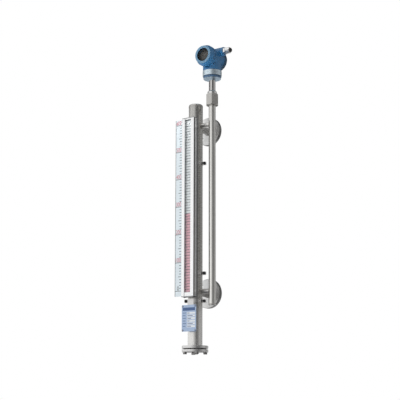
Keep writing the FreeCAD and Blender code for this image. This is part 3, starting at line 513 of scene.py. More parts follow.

# Indicator housing: an anodised aluminium extrusion with two front lips, strapped to the chamber.
# A clear strip slides in behind the lips, and grey plates screwed on at both ends close it.
# The side ribs' flanks and a dark line along the window's left edge are painted shade.
channel_low, channel_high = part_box("indicator_channel")
channel_colour = (0.955, 0.96, 0.965)
# Painted shade: the ribs' flanks, and a dark line beside the window's left edge.
rib_start, rib_shade_colour = 27.8 * mm, (0.24, 0.24, 0.245)
shade_line_x, shade_line_half, shade_line_colour = -13.1 * mm, 0.9 * mm, (0.09, 0.092, 0.095)
plate_seam, plate_grey = 0.1 * mm, (0.36, 0.365, 0.37)
channel_finish = finish("channel_aluminium", channel_colour, 1.0, 0.26)
die_lines = grain(channel_finish, (900, 900, 3))
clouded(channel_finish, grain(channel_finish, (30, 30, 6), 2.0), channel_colour, 0.96, 1.03)
sheen(channel_finish, die_lines, 0.20, 0.32)
relief(channel_finish, die_lines, 0.03 * mm, 0.2)
channel_place = place_on(channel_finish)
up_channel = along(channel_finish, channel_place, "Z")
off_side = along(channel_finish, vector_sum(channel_finish, "ABSOLUTE", channel_place), "X")
past_shade_line = vector_sum(channel_finish, "SUBTRACT", channel_place, (shade_line_x, 0, 0))
off_shade_line = along(channel_finish, vector_sum(channel_finish, "ABSOLUTE", past_shade_line), "X")
# The first two are painted shade; the last two paint the grey end plates.
for compare, measure, limit, colour in (
    ("GREATER_THAN", off_side, rib_start, rib_shade_colour),
    ("LESS_THAN", off_shade_line, shade_line_half, shade_line_colour),
    ("GREATER_THAN", up_channel, channel_high.z + plate_seam, plate_grey),
    ("LESS_THAN", up_channel, channel_low.z - plate_seam, plate_grey),
):
    painted_over(channel_finish, compare, measure, limit, colour)
dress(channel_finish, "indicator_channel", "indicator_bottom_cap", "indicator_top_cap")

window_finish = finish("window_clear", (0.85, 0.94, 0.98), 0.0, 0.06)
all_over(window_finish, Alpha=0.08)
sheen(window_finish, grain(window_finish, (40, 40, 8), 2.0), 0.04, 0.1)
dress(window_finish, "indicator_window")

black_finish = speckled(
    "blackened_steel", (0.025, 0.025, 0.027), 0.8, 0.38, 600,
    (0.015, 0.015, 0.017), (0.05, 0.05, 0.055),
)
sheen(black_finish, grain(black_finish, 600), 0.3, 0.48)
end_screw_x = 19 * mm
end_screw_y = channel_low.y + 11 * mm
end_screw_r = 3.2 * mm
rim_z, brow_z, crown_z = 0.6 * mm, 1.5 * mm, 1.9 * mm
brow_r = end_screw_r * 0.8
socket_r, socket_z = 1.2 * mm, 0.9 * mm
dome = [(0, 0), (end_screw_r, 0), (end_screw_r, rim_z), (brow_r, brow_z)]
dome += [(socket_r, crown_z), (socket_r, socket_z), (0, socket_z)]
screws = []
for end, way in (("indicator_bottom_cap", -1), ("indicator_top_cap", 1)):
    end_low, end_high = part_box(end)
    face = end_high.z if way > 0 else end_low.z
    for side in (-1, 1):
        spot = Vector((chamber_axis.x + side * end_screw_x, end_screw_y, face))
        screws.append(placed(spun(dome, 32), spot, (0, 0, way)))
piece("end_plate_screws", joined(screws), black_finish)


def chamfered_box(low, high, edge):
    """Box by two corners with all its edges broken."""
    shape = bmesh.new()
    bmesh.ops.create_cube(shape, size=1.0)
    low, high = Vector(low), Vector(high)
    shape.transform(Matrix.Translation((low + high) / 2) @ Matrix.Diagonal((*(high - low), 1)))
    bmesh.ops.bevel(
        shape, geom=shape.edges, offset=edge, segments=2, profile=0.5, affect="EDGES",
    )
    return shape


rubber = speckled(
    "seal_rubber", (0.015, 0.015, 0.016), 0.0, 0.7, 700, (0.01, 0.01, 0.011), (0.025, 0.025, 0.027),
)
# Painted shade: a dark rubber strip laid in the side groove stands in for the groove's shade.
groove_floor = chamber_axis.x + 23 * mm
strip_thick = 1.4 * mm
strip_front, strip_back = channel_low.y + 1.7 * mm, channel_low.y + 7.3 * mm
strip_end, strip_edge = 1 * mm, 0.3 * mm
strip = chamfered_box(
    (groove_floor, strip_front, channel_low.z + strip_end),
    (groove_floor + strip_thick, strip_back, channel_high.z - strip_end), strip_edge,
)
piece("side_groove_shade_strip", strip, rubber)
opening_half = 12.2 * mm
apron_tall, apron_edge = 4.5 * mm, 0.2 * mm
lip_thick = 2 * mm
apron = chamfered_box(
    (chamber_axis.x - opening_half, channel_low.y, channel_high.z - apron_tall),
    (chamber_axis.x + opening_half, channel_low.y + lip_thick, channel_high.z), apron_edge,
)
piece("window_top_apron", apron, channel_finish)

# Flaps: a column of moulded magnetic flaps, red on one side and white on the other, on steel pins.
# The float's magnet turns them one by one, so the lower ones show red up to the level.
flap_red = (0.86, 0.44, 0.51)
flap_white = (0.94, 0.985, 1.0)
rail_colour = (0.08, 0.085, 0.09)


def enamel(name, colour):
    """Satin enamel on a moulded flap, a little uneven."""
    coat = finish(name, colour, 0.0, 0.35)
    drift = grain(coat, (60, 60, 140))
    clouded(coat, drift, colour, 0.95, 1.05)
    sheen(coat, drift, 0.28, 0.45)
    relief(coat, grain(coat, 900), 0.05 * mm, 0.2)
    return coat


red_finish = enamel("flap_red", flap_red)
white_finish = enamel("flap_white", flap_white)
rail_finish = finish("rail_metal", rail_colour, 0.6, 0.35)
drawn_lines = grain(rail_finish, (600, 600, 5))
clouded(rail_finish, drawn_lines, rail_colour, 0.8, 1.2)
sheen(rail_finish, drawn_lines, 0.3, 0.45)
rack_low, rack_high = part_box("red_flap_rack")
rack_wall = 1.5 * mm
rack_back = 1.8 * mm
flap_pitch = 10 * mm
flap_space = 1.3 * mm
flap_clear, flap_depth = 0.2 * mm, 5 * mm
flap_half = (rack_high.x - rack_low.x) / 2 - rack_wall - flap_clear
flap_y = rack_low.y + flap_depth
flap_thick = 3.6 * mm
flap_edge = block_edge = 0.5 * mm
flap_taper, flap_curve, flap_end = 0.72, 1.5, 0.8
facing_back = 0.02
flap_lean = math.radians(-12)
end_clear = flap_pitch * 0.4
top_flap = 60
top_seal = 6 * mm
pin_r = 0.8 * mm
pin_inset = 1 * mm
soft_edge = 40


def flap_section():
    """Closed outline of a flap in (depth, height): a lens with rounded edges."""
    tall = (flap_pitch - flap_space) / 2
    steps = 10
    front = []
    for i in range(steps + 1):
        t = -1 + 2 * i / steps
        swell = flap_thick / 2 * (1 - flap_taper * abs(t) ** flap_curve)
        front.append((-swell, t * tall))
    return front + [(-y, z) for y, z in reversed(front)]


def flap_shape(level):
    """One flap across the rack, leaning a little like a shingle."""
    shape = bmesh.new()
    outer, inner = flap_half, flap_half - flap_edge
    rings = []
    for x, fullness in ((-outer, flap_end), (-inner, 1), (inner, 1), (outer, flap_end)):
        ring = []
        for y, z in flap_section():
            leaned_y = y * fullness * math.cos(flap_lean) - z * math.sin(flap_lean)
            leaned_z = y * fullness * math.sin(flap_lean) + z * math.cos(flap_lean)
            corner = (chamber_axis.x + x, flap_y + leaned_y, level + leaned_z)
            ring.append(shape.verts.new(corner))
        rings.append(ring)
    return skinned(shape, rings)


for name, front_finish, back_finish, slot in (
    ("red_flap_rack", red_finish, white_finish, "flaps_red"),
    ("white_flap_rack", white_finish, red_finish, "flaps_white"),
):
    rack_low, rack_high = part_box(name)
    first = max(math.ceil((rack_low.z + end_clear) / flap_pitch), 0)
    last = min(math.floor((rack_high.z - end_clear) / flap_pitch), top_flap)
    levels = [flap_pitch * i for i in range(first, last + 1)]
    flaps = joined([flap_shape(level) for level in levels])
    column = piece(name + "_flaps", flaps, front_finish, sharp=soft_edge)
    column.data.materials.append(back_finish)
    for face in column.data.polygons:
        face.material_index = 1 if face.normal.y > facing_back else 0

    half = (rack_high.x - rack_low.x) / 2
    inside = half - rack_wall
    rack_floor = rack_high.y - rack_back
    outline = [(-half, rack_high.y), (-half, rack_low.y), (-inside, rack_low.y)]
    outline += [(-inside, rack_floor), (inside, rack_floor)]
    outline += [(inside, rack_low.y), (half, rack_low.y), (half, rack_high.y)]
    rails = bmesh.new()
    loops = []
    for z in (rack_low.z, rack_high.z):
        loops.append([rails.verts.new((chamber_axis.x + x, y, z)) for x, y in outline])
    pin_length = 2 * half - 2 * pin_inset
    pin = [(0, 0), (pin_r, 0), (pin_r, pin_length), (0, pin_length)]
    carrier = [skinned(rails, loops)]
    for level in levels:
        pin_end = (chamber_axis.x - half + pin_inset, flap_y, level)
        carrier.append(placed(spun(pin, 10), pin_end, (1, 0, 0)))
    piece(name + "_rails", joined(carrier), rail_finish, sharp=soft_edge)
    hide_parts(name)

    if first == 0:
        block_low, block_high = rack_low.z, -flap_pitch / 2
    else:
        block_low, block_high = levels[-1] + flap_pitch / 2, rack_high.z - top_seal
    block = chamfered_box(
        (chamber_axis.x - inside, flap_y - flap_thick / 2, block_low),
        (chamber_axis.x + inside, rack_floor, block_high), block_edge,
    )
    piece(name + "_end_block", block, white_finish)

# Scale plate: folded aluminium sheet in a pale baked enamel, printed with a tick each ten
# millimetres. Every hundred has a full-width tick with a plain number standing on it, in place of
# the next tick.
scale_low, scale_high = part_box("scale_plate")
scale_colour = (0.80, 0.885, 0.935)
scale_finish = finish("scale_enamel", scale_colour, 0.0, 0.3)
clouded(scale_finish, grain(scale_finish, (25, 25, 12), 2.0), scale_colour, 0.95, 1.04)
sheen(scale_finish, grain(scale_finish, 120), 0.24, 0.36)
relief(scale_finish, grain(scale_finish, 1200), 0.03 * mm, 0.2)
dress(scale_finish, "scale_plate")
ink_dark = speckled(
    "scale_ink", (0.05, 0.06, 0.065), 0.0, 0.5, 800, (0.04, 0.05, 0.05), (0.09, 0.10, 0.10),
)
ink_red = speckled(
    "scale_red_ink", (0.55, 0.08, 0.12), 0.0, 0.5, 800, (0.50, 0.06, 0.10), (0.62, 0.12, 0.16),
)
ink_thick = 0.06 * mm
border_wide = 2.0 * mm
tick_inset, full_inset = 1.0 * mm, 1.2 * mm
tick_right = scale_high.x - tick_inset
tick_lengths = {1: 8.5 * mm, 5: 13 * mm, 10: scale_high.x - scale_low.x - full_inset}
tick_half = 1.9 * mm / 2
top_number = 600


def printed_bar(x_low, x_high, z_low, z_high, face_y):
    """Thin printed bar on a plate that faces -Y."""
    shape = bmesh.new()
    bmesh.ops.create_cube(shape, size=1.0)
    size = Matrix.Diagonal((x_high - x_low, ink_thick, z_high - z_low, 1))
    middle = ((x_low + x_high) / 2, face_y, (z_low + z_high) / 2)
    shape.transform(Matrix.Translation(middle) @ size)
    return shape


border_right = scale_low.x + border_wide
ticks = [printed_bar(scale_low.x, border_right, scale_low.z, scale_high.z, scale_low.y)]
for i in range(top_number // 10 + 1):
    if i > 1 and i % 10 == 1:
        continue
    rank = 10 if i % 10 == 0 else 5 if i % 5 == 0 else 1
    tick_left = tick_right - tick_lengths[rank]
    z = i * flap_pitch
    ticks.append(printed_bar(tick_left, tick_right, z - tick_half, z + tick_half, scale_low.y))
piece("scale_ticks", joined(ticks), ink_dark)

number_height = 15 * mm
number_width = 7.2 * mm
number_rise = 2.2 * mm
number_inset, zero_inset = 1.8 * mm, 9.6 * mm


def number_shape(digits, right, foot):
    """Upright number printed on the scale plate, right-aligned."""
    font = bpy.data.curves.new("digits", "FONT")
    font.body = digits
    font.extrude = 0.02
    holder = bpy.data.objects.new("digits", font)
    mesh = bpy.data.meshes.new_from_object(holder)
    shape = bmesh.new()
    shape.from_mesh(mesh)
    xs = [v.co.x for v in shape.verts]
    ys = [v.co.y for v in shape.verts]
    wide = number_width * len(digits) / (max(xs) - min(xs))
    tall = number_height / (max(ys) - min(ys))
    for v in shape.verts:
        x = right - (max(xs) - v.co.x) * wide
        y = scale_low.y - ink_thick * math.copysign(0.5, v.co.z)
        v.co = (x, y, foot + (v.co.y - min(ys)) * tall)
    bmesh.ops.remove_doubles(shape, verts=shape.verts, dist=same_place)
    bmesh.ops.dissolve_degenerate(shape, edges=shape.edges, dist=same_place / 10)
    bpy.data.objects.remove(holder)
    bpy.data.curves.remove(font)
    bpy.data.meshes.remove(mesh)
    return shape


numbers = []
for number in range(100, top_number + 1, 100):
    foot = number * mm + number_rise
    numbers.append(number_shape(str(number), tick_right - number_inset, foot))
piece("scale_numbers", joined(numbers), ink_red)
zero = number_shape("0", tick_right - zero_inset, number_rise)
piece("scale_zero", zero, ink_dark)

# Clamp bands: strips of stainless sheet bent round the chamber, drawn together by black screws and
# nuts. One pair straps the indicator on; a two-piece clamp below carries the nameplate's bracket.
band_finish = ground_steel("band_steel", (0.72, 0.71, 0.70), 0.28, (60, 60, 1800))
dress(band_finish, "upper_clamp_band", "lower_clamp_band", "nameplate_bracket")
dress(band_finish, "nameplate_clamp_front", "nameplate_clamp_rear")
ear_angle = math.radians(22)
ear_reach = chamber_r + 7.3 * mm
ear_half = 2.7 * mm
clamp_flats = 10 * mm
clamp_r = 3 * mm
clamp_pitch, clamp_thread = 0.8 * mm, 0.3 * mm
clamp_head, clamp_nut, clamp_stand = 4 * mm, 4 * mm, 1.4 * mm
clamp_length = 2 * ear_half + clamp_nut + clamp_stand
places = []
for name in ("upper_clamp_band", "lower_clamp_band", "nameplate_clamp_front"):
    band_low, band_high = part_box(name)
    places.append(((band_low.z + band_high.z) / 2, ear_angle))
places.append((places[-1][0], ear_angle + math.pi))
clamps = []
for z, angle in places:
    radial = Vector((math.cos(angle), math.sin(angle), 0))
    across = Vector((-math.sin(angle), math.cos(angle), 0))
    middle = on_chamber(z) + radial * ear_reach
    under_head = middle - across * ear_half
    clamps.append(placed(hex_bar(clamp_flats, clamp_head), under_head, -across))
    clamps.append(placed(hex_bar(clamp_flats, clamp_nut), middle + across * ear_half, across))
    shank = threaded(clamp_r, clamp_length, clamp_pitch, clamp_thread)
    clamps.append(placed(shank, under_head, across))
clamp_set = piece("clamp_screw_set", joined(clamps), black_finish)
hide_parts("clamp_screws")

# Nameplate: a thin anodised plate, screen-printed with plain blue fields, on a folded strip.
# Four round-headed rivets hold its corners, each ringed by a painted shadow in blue ink.
plate_low, plate_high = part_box("nameplate")
plate_colour = (0.42, 0.53, 0.72)
plate_finish = finish("nameplate_sheet", plate_colour, 0.35, 0.32)
brushing = grain(plate_finish, (1200, 60, 60))
clouded(plate_finish, brushing, plate_colour, 0.92, 1.06)
sheen(plate_finish, brushing, 0.27, 0.4)
dress(plate_finish, "nameplate")
field_blue = speckled(
    "nameplate_blue", (0.07, 0.13, 0.29), 0.0, 0.4, 500, (0.055, 0.105, 0.25), (0.09, 0.16, 0.33),
)
field_white = speckled(
    "nameplate_white", (0.84, 0.88, 0.92), 0.0, 0.4, 500, (0.80, 0.85, 0.90), (0.88, 0.91, 0.94),
)
margin = 4 * mm
field_left, field_right = plate_low.x + margin, plate_high.x - margin
title_top, title_foot = plate_high.z - 9 * mm, plate_high.z - 20 * mm
row_count = 6
row_pitch = 9.2 * mm
row_top = plate_high.z - 25 * mm
label_lengths = (15 * mm, 12 * mm)
label_top, label_foot = 1.6 * mm, 3.6 * mm
box_left = field_left + 18 * mm
box_tall = 6.6 * mm
entry_left = field_left + 20 * mm
entry_lengths = (9 * mm, 23 * mm, 16 * mm)
entry_top, entry_foot = 2.2 * mm, 4.4 * mm
face_y = plate_low.y
blue_bars = [printed_bar(field_left, field_right, title_foot, title_top, face_y)]
white_bars = []
for row in range(row_count):
    z = row_top - row * row_pitch
    label_right = field_left + label_lengths[row % 2]
    blue_bars.append(printed_bar(field_left, label_right, z - label_foot, z - label_top, face_y))
    white_bars.append(printed_bar(box_left, field_right, z - box_tall, z, face_y))
    entry_right = entry_left + entry_lengths[row % 3]
    entry_y = face_y - ink_thick
    blue_bars.append(printed_bar(entry_left, entry_right, z - entry_foot, z - entry_top, entry_y))
piece("nameplate_fields", joined(blue_bars), field_blue)
piece("nameplate_boxes", joined(white_bars), field_white)
rivet_r = 2.5 * mm
rivet_flatness = 0.6
rivet_inset = 4.2 * mm
# Painted shadow: a thin blue ring printed round each rivet.
shadow_ring_r, shadow_ring_bore = 3.6 * mm, rivet_r * 0.8
rivet_head = [(0, 0)] + [(r, z * rivet_flatness) for r, z in arc((0, 0), rivet_r, 0, 90)]
rivet_shadow_ring = [(shadow_ring_bore, 0), (shadow_ring_r, 0), (shadow_ring_r, ink_thick), (shadow_ring_bore, ink_thick)]
rivets = []
rivet_shadows = []
for x in (plate_low.x + rivet_inset, plate_high.x - rivet_inset):
    for z in (plate_low.z + rivet_inset, plate_high.z - rivet_inset):
        rivets.append(placed(spun(rivet_head, 24), (x, face_y, z), (0, -1, 0)))
        rivet_shadows.append(placed(spun(rivet_shadow_ring, 32), (x, face_y, z), (0, -1, 0)))
rivet_finish = ground_steel("rivet_steel", (0.55, 0.55, 0.55), 0.3, 800)
piece("nameplate_rivets", joined(rivets), rivet_finish)
piece("nameplate_rivet_shadows", joined(rivet_shadows), field_blue)

# Sensor tube: a slim stainless tube closed below, welded to the chamber by two short round bars.
# A long circuit strip with reed switches hangs inside it.
tube_finish = ground_steel("sensor_steel", (0.82, 0.81, 0.78), 0.2, (60, 60, 2400))
dress(tube_finish, "sensor_tube", "sensor_tube_end_plug")
bar_finish = ground_steel("standoff_steel", (0.94, 0.93, 0.91), 0.3, (60, 1500, 1500))
dress(bar_finish, "lower_standoff", "upper_standoff")
board_colour = (0.03, 0.20, 0.09)
board_finish = finish("circuit_board", board_colour, 0.0, 0.35)
weave = grain(board_finish, 1800)
clouded(board_finish, weave, board_colour, 0.8, 1.25)
sheen(board_finish, weave, 0.3, 0.45)
dress(board_finish, "reed_chain_board", "electronics_board")

# Union and stem: a long hexagon nut over the tube's end, a turned body with a coned collar and a
# polished pipe. They carry the transmitter's head and lead its wires up.
union_low, union_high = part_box("union_nut")
union_axis = (union_low + union_high) / 2
nut_finish = ground_steel("union_nut_steel", (0.54, 0.53, 0.51), 0.3, (300, 300, 1500))
dress(nut_finish, "union_nut", "union_tail_ring")
dress(turned_steel("union_body_steel", (0.88, 0.88, 0.87), 0.2, union_axis, "Z"), "union_body")
dress(ground_steel("stem_steel", (0.70, 0.69, 0.68), 0.08, (40, 40, 1800)), "stem_pipe")

# Head base and neck band: a turned adapter, painted round its rim and bare below, and a bright
# ring. The housing turns on the adapter's spigot until its lock screw holds it.
base_finish = finish("head_base_paint", (0.07, 0.12, 0.20), 0.0, 0.35)
base_height = along(base_finish, place_on(base_finish), "Z")
paint_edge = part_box("head_base")[0].z + 1.1 * mm
bare = reckoned(base_finish, "LESS_THAN", base_height, paint_edge)
tone(base_finish, bare, (0.05, 0.11, 0.20), (0.62, 0.78, 0.92))
lead(base_finish, bare, "Metallic")
relief(base_finish, grain(base_finish, 500), 0.08 * mm, 0.25)
dress(base_finish, "head_base")
dress(turned_steel("neck_band_steel", (0.74, 0.86, 0.97), 0.26, union_axis, "Z"), "neck_band")

# Transmitter housing: one aluminium casting in blue enamel, with two chambers, two cable entries
# and a neck. Its surface keeps the casting's faint unevenness under the paint.
paint_blue = (0.026, 0.135, 0.295)
casting_grid = 1.1 * mm
casting_passes = 6
casting_sharp = 60


def cast_paint(name, colour):
    """Blue enamel over a casting: soft orange peel, a thin clear coat and an uneven tone."""
    paint = finish(name, colour, 0.0, 0.36)
    all_over(paint, Coat_Weight=0.2, Coat_Roughness=0.18)
    clouded(paint, grain(paint, 45, 2.0), colour, 0.85, 1.15)
    peel = grain(paint, 420)
    sheen(paint, peel, 0.30, 0.44)
    relief(paint, peel, 0.12 * mm, 0.35)
    return paint


def softened(node):
    """A casting's shape with its edges and saddles rounded off, as sand and paint leave them."""
    rough = shown("rough_casting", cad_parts[node].data.copy())
    mould = rough.modifiers.new("mould", "REMESH")
    mould.mode = "VOXEL"
    mould.voxel_size = casting_grid
    rounding = rough.modifiers.new("rounding", "SMOOTH")
    rounding.iterations = casting_passes
    rounding.factor = 0.5
    shape = bmesh.new()
    shape.from_object(rough, bpy.context.evaluated_depsgraph_get())
    bpy.data.meshes.remove(rough.data)
    return shape


housing_shape = softened("head_housing")
housing_finish = cast_paint("head_paint", paint_blue)
casting = piece(
    "head_casting", housing_shape, housing_finish, "transmitter_head", casting_sharp,
)
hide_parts("head_housing")
dress(black_finish, "housing_lock_screw")

# Covers: screwed caps of the same blue casting with scalloped rims to grip, a window in the front
# one. Flat rubber seals lie under their shoulders, and a screwed ring holds the glass from inside.
# Painted reflection: the front face of the display cover is painted a lighter blue.
front_face_light_colour = (0.105, 0.22, 0.335)
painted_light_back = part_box("display_cover")[0].y + 1.2 * mm
cover_finish = cast_paint("cover_paint", paint_blue)
cover_depth = along(cover_finish, place_on(cover_finish), "Y")
painted_over(cover_finish, "LESS_THAN", cover_depth, painted_light_back, front_face_light_colour)
dress(cover_finish, "display_cover")
# Painted shade: the rear cover and its cast ring get a darker blue than the front.
rear_shade_paint = cast_paint("rear_cover_shade_paint", (0.014, 0.068, 0.14))
dress(rear_shade_paint, "terminal_cover")
cast_ring_r = 24 * mm
cast_ring_half = 2 * mm
cast_ring_rise = 0.9 * mm
cast_ring_root = -0.3 * mm
ring_outer, ring_inner = cast_ring_r + cast_ring_half, cast_ring_r - cast_ring_half
ring_section = [(ring_outer, cast_ring_root), (ring_outer, 0)]
for across, rise in arc((0, 0), 1.0, 15, 165):
    ring_section.append((cast_ring_r + across * cast_ring_half, rise * cast_ring_rise))
ring_section += [(ring_inner, 0), (ring_inner, cast_ring_root)]
rear_low, rear_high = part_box("terminal_cover")
ring_place = (rear_low + rear_high) / 2
ring_place.y = rear_high.y
cast_ring = placed(spun(ring_section, 96), ring_place, (0, 1, 0))
piece("rear_cover_ring", cast_ring, rear_shade_paint, "terminal_cover", casting_sharp)
dress(rubber, "display_cover_seal", "terminal_cover_seal", "glass_gasket")
glass = finish("window_glass", (0.03, 0.035, 0.035), 0.0, 0.04)
all_over(glass, Alpha=0.16)
sheen(glass, grain(glass, 60, 2.0), 0.015, 0.05)
dress(glass, "display_glass")
ring_finish = ground_steel("retaining_ring_metal", (0.06, 0.06, 0.065), 0.45, 700)
dress(ring_finish, "glass_retaining_ring")

# Display and terminals: a black moulded display on posts in front, a moulded terminal block behind.
# The liquid crystal panel shows its dull grey-brown, with a faint glow as painted light.
black_plastic = speckled(
    "display_plastic", (0.02, 0.02, 0.02), 0.0, 0.5, 900,
    (0.015, 0.015, 0.015), (0.035, 0.034, 0.033),
)
relief(black_plastic, grain(black_plastic, 900), 0.08 * mm, 0.3)
dress(black_plastic, "display_module")
green_plastic = speckled(
    "terminal_plastic", (0.06, 0.22, 0.10), 0.0, 0.45, 500, (0.045, 0.18, 0.08), (0.08, 0.26, 0.12),
)
dress(green_plastic, "terminal_block")
display_low, display_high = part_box("display_module")
display_axis = (display_low + display_high) / 2
panel_half_wide, panel_half_tall = 17 * mm, 13 * mm
panel_proud, panel_edge = 0.5 * mm, 0.3 * mm
panel_finish = finish("display_panel", (0.04, 0.038, 0.035), 0.0, 0.25)
panel_cloud = grain(panel_finish, 90, 2.0)
tone(panel_finish, panel_cloud, (0.03, 0.028, 0.026), (0.05, 0.047, 0.043))
# Painted light: the panel glows faintly.
all_over(panel_finish, Emission_Color=(1.0, 0.95, 0.88, 1), Emission_Strength=0.045)
panel_centre = Vector((display_axis.x, display_low.y, display_axis.z))
panel_reach = Vector((panel_half_wide, panel_proud, panel_half_tall))
panel = chamfered_box(panel_centre - panel_reach, panel_centre + panel_reach, panel_edge)
piece("display_panel", panel, panel_finish, "transmitter_head")

# Cable entries: a nickel-plated gland with a ribbed nut and a black sealing plug on the right.
# A threaded plug with a hexagon socket closes the entry on the left.
nickel = ground_steel("gland_nickel", (0.93, 0.935, 0.935), 0.22, (900, 500, 500))
dress(nickel, "gland_body", "blanking_plug")
dress(rubber, "gland_plug")
nut_low, nut_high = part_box("gland_nut")
nut_r = (nut_high.z - nut_low.z) / 2
nut_length = nut_high.x - nut_low.x
nut_bore = 7.8 * mm
nut_sleeve = 8.9 * mm
nut_shoulder = nut_length - 2.5 * mm
nut_round = 3.2 * mm
rib_count = 20
rib_depth = 0.5 * mm
rib_reach = 0.1 * mm
nut_profile = [(nut_sleeve, 0), (nut_r, 0), (nut_r, nut_length - nut_round)]
nut_profile += arc((nut_r - nut_round, nut_length - nut_round), nut_round, 15, 90, 6)
nut_profile += [(nut_bore, nut_length), (nut_bore, nut_shoulder), (nut_sleeve, nut_shoulder)]
nut = spun(nut_profile, rib_count * 6)
for v in nut.verts:
    if math.hypot(v.co.x, v.co.y) > nut_r - rib_reach:
        angle = math.atan2(v.co.y, v.co.x)
        shrink = 1 - rib_depth / nut_r * (0.5 - 0.5 * math.cos(rib_count * angle))
        v.co.x *= shrink
        v.co.y *= shrink
nut_place = (nut_low + nut_high) / 2
nut_place.x = nut_low.x
nut = placed(nut, nut_place, (1, 0, 0))
ribbed_nut = piece("ribbed_gland_nut", nut, nickel, "transmitter_head")
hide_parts("gland_nut")

# Studio: a pale floor well below the hung part, a white surround, a broad soft lamp from the left
# and a small one from below for the head. Grey cards all round, seen by the polished metal alone,
# give it its shaded bands.
floor_level = -0.62
floor_size = 60
glow_reach, glow_strength = (1.2, 5.0), (0.3, 0.6)
bpy.ops.mesh.primitive_plane_add(size=floor_size, location=(0, 0, floor_level))
floor = bpy.context.object
floor.name = "studio_floor"
floor_finish = finish("floor_paper", (0.86, 0.86, 0.86), 0.0, 0.9)
floor_cloud = grain(floor_finish, 0.5)
tone(floor_finish, floor_cloud, (0.85, 0.85, 0.85), (0.87, 0.87, 0.87))
all_over(floor_finish, Emission_Color=(1, 1, 1, 1))
straight_view = put(floor_finish, "LightPath").outputs["Is Camera Ray"]
floor_reach = span(floor_finish, place_on(floor_finish))
fade = ranged(floor_finish, floor_reach, *glow_reach, *glow_strength)
glow = reckoned(floor_finish, "MULTIPLY", straight_view, fade)
lead(floor_finish, glow, "Emission Strength")
floor.data.materials.append(floor_finish)

fill_strength = 0.62
world = bpy.data.worlds.new("studio_surround")
bpy.context.scene.world = world
world.use_nodes = True
seen = put(world, "LightPath")
mirrored = seen.outputs["Is Glossy Ray"]
straight = reckoned(world, "MAXIMUM", seen.outputs["Is Camera Ray"], mirrored)
through = reckoned(world, "MAXIMUM", straight, seen.outputs["Is Transmission Ray"])
brightness = ranged(world, through, 0.0, 1.0, fill_strength, 1.0)
surround = world.node_tree.nodes["Background"]
surround.inputs["Color"].default_value = (1, 1, 1, 1)
world.node_tree.links.new(brightness, surround.inputs["Strength"])

camera_place = Vector((2.0485, -2.9859, -0.3859))
camera_aim = Vector((-0.56262, 0.80270, 0.19780))
camera_roll = Quaternion((0, 0, 1), math.radians(0.13))
camera_data = bpy.data.cameras.new("photo_camera")
camera_data.lens = 90.81
camera_data.sensor_width = 36
camera = shown("photo_camera", camera_data)
camera.location = camera_place
camera.rotation_mode = "QUATERNION"
camera.rotation_quaternion = camera_aim.to_track_quat("-Z", "Y") @ camera_roll
bpy.context.scene.camera = camera
camera_bearing = math.atan2(camera_place.y, camera_place.x)
card_distance = 4.6


def studio_card(name, shape, grey):
    """Card of one grey that only the polished metal sees."""
    mesh = meshed(name, shape)
    paper = finish(name, (0, 0, 0), 0.0, 1.0)
    all_over(paper, Emission_Color=(1, 1, 1, 1), Emission_Strength=grey)
    mesh.materials.append(paper)
    card = shown(name, mesh)
    card.visible_camera = False
    card.visible_diffuse = False
    card.visible_transmission = False
    card.visible_shadow = False


def upright_card(start, end, foot, head):
    """Curved card between two bearings from the camera's, in degrees."""
    steps = 12
    shape = bmesh.new()
    columns = []
    for i in range(steps + 1):
        angle = camera_bearing + math.radians(start + (end - start) * i / steps)
        spot = Vector((math.cos(angle), math.sin(angle), 0)) * card_distance
        columns.append([shape.verts.new(spot + Vector((0, 0, z))) for z in (foot, head)])
    for low, high in zip(columns, columns[1:]):
        shape.faces.new((low[0], high[0], high[1], low[1]))
    return shape


def level_card(low, high, z):
    """Flat card between two corners at a height."""
    shape = bmesh.new()
    corners = [(low[0], low[1]), (high[0], low[1]), (high[0], high[1]), (low[0], high[1])]
    shape.faces.new([shape.verts.new((x, y, z)) for x, y in corners])
    return shape


card_foot, foot_split, left_foot, glint_foot, glint_head = -0.6, 0.42, 0.7, 1.3, 1.6
card_split, stem_foot, stem_head, card_head = 1.9, 2.14, 2.31, 3.4
front_steps = (
    (-42, -30, 0.88), (-30, -19, 0.74), (-19, -9, 0.57), (-9, 0, 0.41), (0, 9, 0.27),
    (9, 20, 0.18), (20, 40, 0.15),
)
right_foot_steps = ((40, 58, 0.3), (58, 76, 0.46), (76, 96, 0.54), (96, 124, 0.32))
right_steps = ((40, 58, 0.2), (58, 76, 0.27), (76, 96, 0.32), (96, 124, 0.26))
back_steps = ((124, 160, 0.5), (160, 200, 0.1), (200, 214, 0.5))
left_steps = ((214, 246, 0.4), (246, 258, 0.45))
glint_steps = ((302, 318, 0.8),)
above_glint_steps = ((302, 318, 0.55),)
cap_steps = (
    (-30, -12, 0.75), (-12, -4, 0.5), (-4, 5, 0.26), (5, 14, 0.12), (214, 258, 0.85),
    (302, 318, 0.55),
)
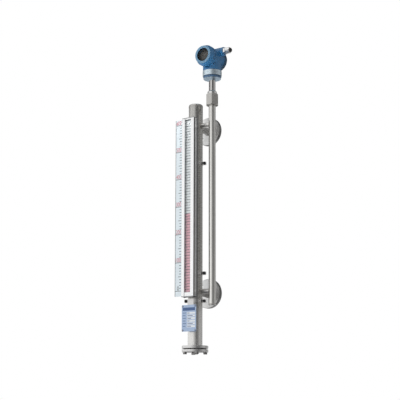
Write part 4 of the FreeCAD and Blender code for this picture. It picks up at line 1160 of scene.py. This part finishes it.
stem_steps = (
    (-30, -12, 0.8), (-12, -4, 0.3), (-4, 14, 0.04), (214, 278, 0.1), (278, 322, 0.56),
)
head_steps = (
    (-30, -12, 0.7), (-12, -4, 0.3), (-4, 14, 0.05), (214, 246, 0.4), (246, 258, 0.45),
)
high_steps = ((14, 44, 0.15), (44, 76, 0.34), (76, 124, 0.5), (124, 214, 0.15))
for steps, foot, head in (
    (front_steps, card_foot, card_split),
    (right_foot_steps, card_foot, foot_split),
    (right_steps, foot_split, card_split),
    (back_steps, card_foot, card_split),
    (left_steps, left_foot, card_split),
    (glint_steps, glint_foot, glint_head),
    (above_glint_steps, glint_head, card_split),
    (cap_steps, card_split, stem_foot),
    (stem_steps, stem_foot, stem_head),
    (head_steps, stem_head, card_head),
    (high_steps, card_split, card_head),
):
    for start, end, grey in steps:
        card_name = "tone_card_%d_%d" % (end, 100 * head)
        studio_card(card_name, upright_card(start, end, foot, head), grey)
flag_level = floor_level + 2 * mm
studio_card("near_floor_flag", level_card((-1.2, -1.2), (1.0, 0.4), flag_level), 0.1)
studio_card("side_floor_flag", level_card((1.0, -2.2), (4.6, 3.2), flag_level), 0.12)
studio_card("ceiling_flag", level_card((-3.5, 0.6), (3.5, 4.5), card_head), 0.12)


def soft_lamp(name, aim, bearing, rise, distance, size, power, spread):
    """Square soft lamp aimed at a point, placed by its bearing from the camera's."""
    data = bpy.data.lights.new(name, "AREA")
    data.size = size
    data.energy = power
    data.spread = math.radians(spread)
    lamp = shown(name, data)
    angle = camera_bearing + math.radians(bearing)
    slope = math.tan(math.radians(rise))
    away = Vector((math.cos(angle), math.sin(angle), slope)) * distance
    lamp.location = Vector(aim) + away
    lamp.rotation_euler = (-away).to_track_quat("-Z", "Y").to_euler()
    lamp.visible_glossy = False


soft_lamp(
    "key_lamp", (0, -0.09, 0.35),
    bearing=-58, rise=30, distance=3.0, size=3.0, power=40, spread=180,
)
soft_lamp(
    "head_lamp", (0.03, -0.12, 0.88),
    bearing=-50, rise=-58, distance=0.7, size=0.2, power=0.13, spread=16,
)

bpy.context.scene.view_settings.view_transform = "Standard"
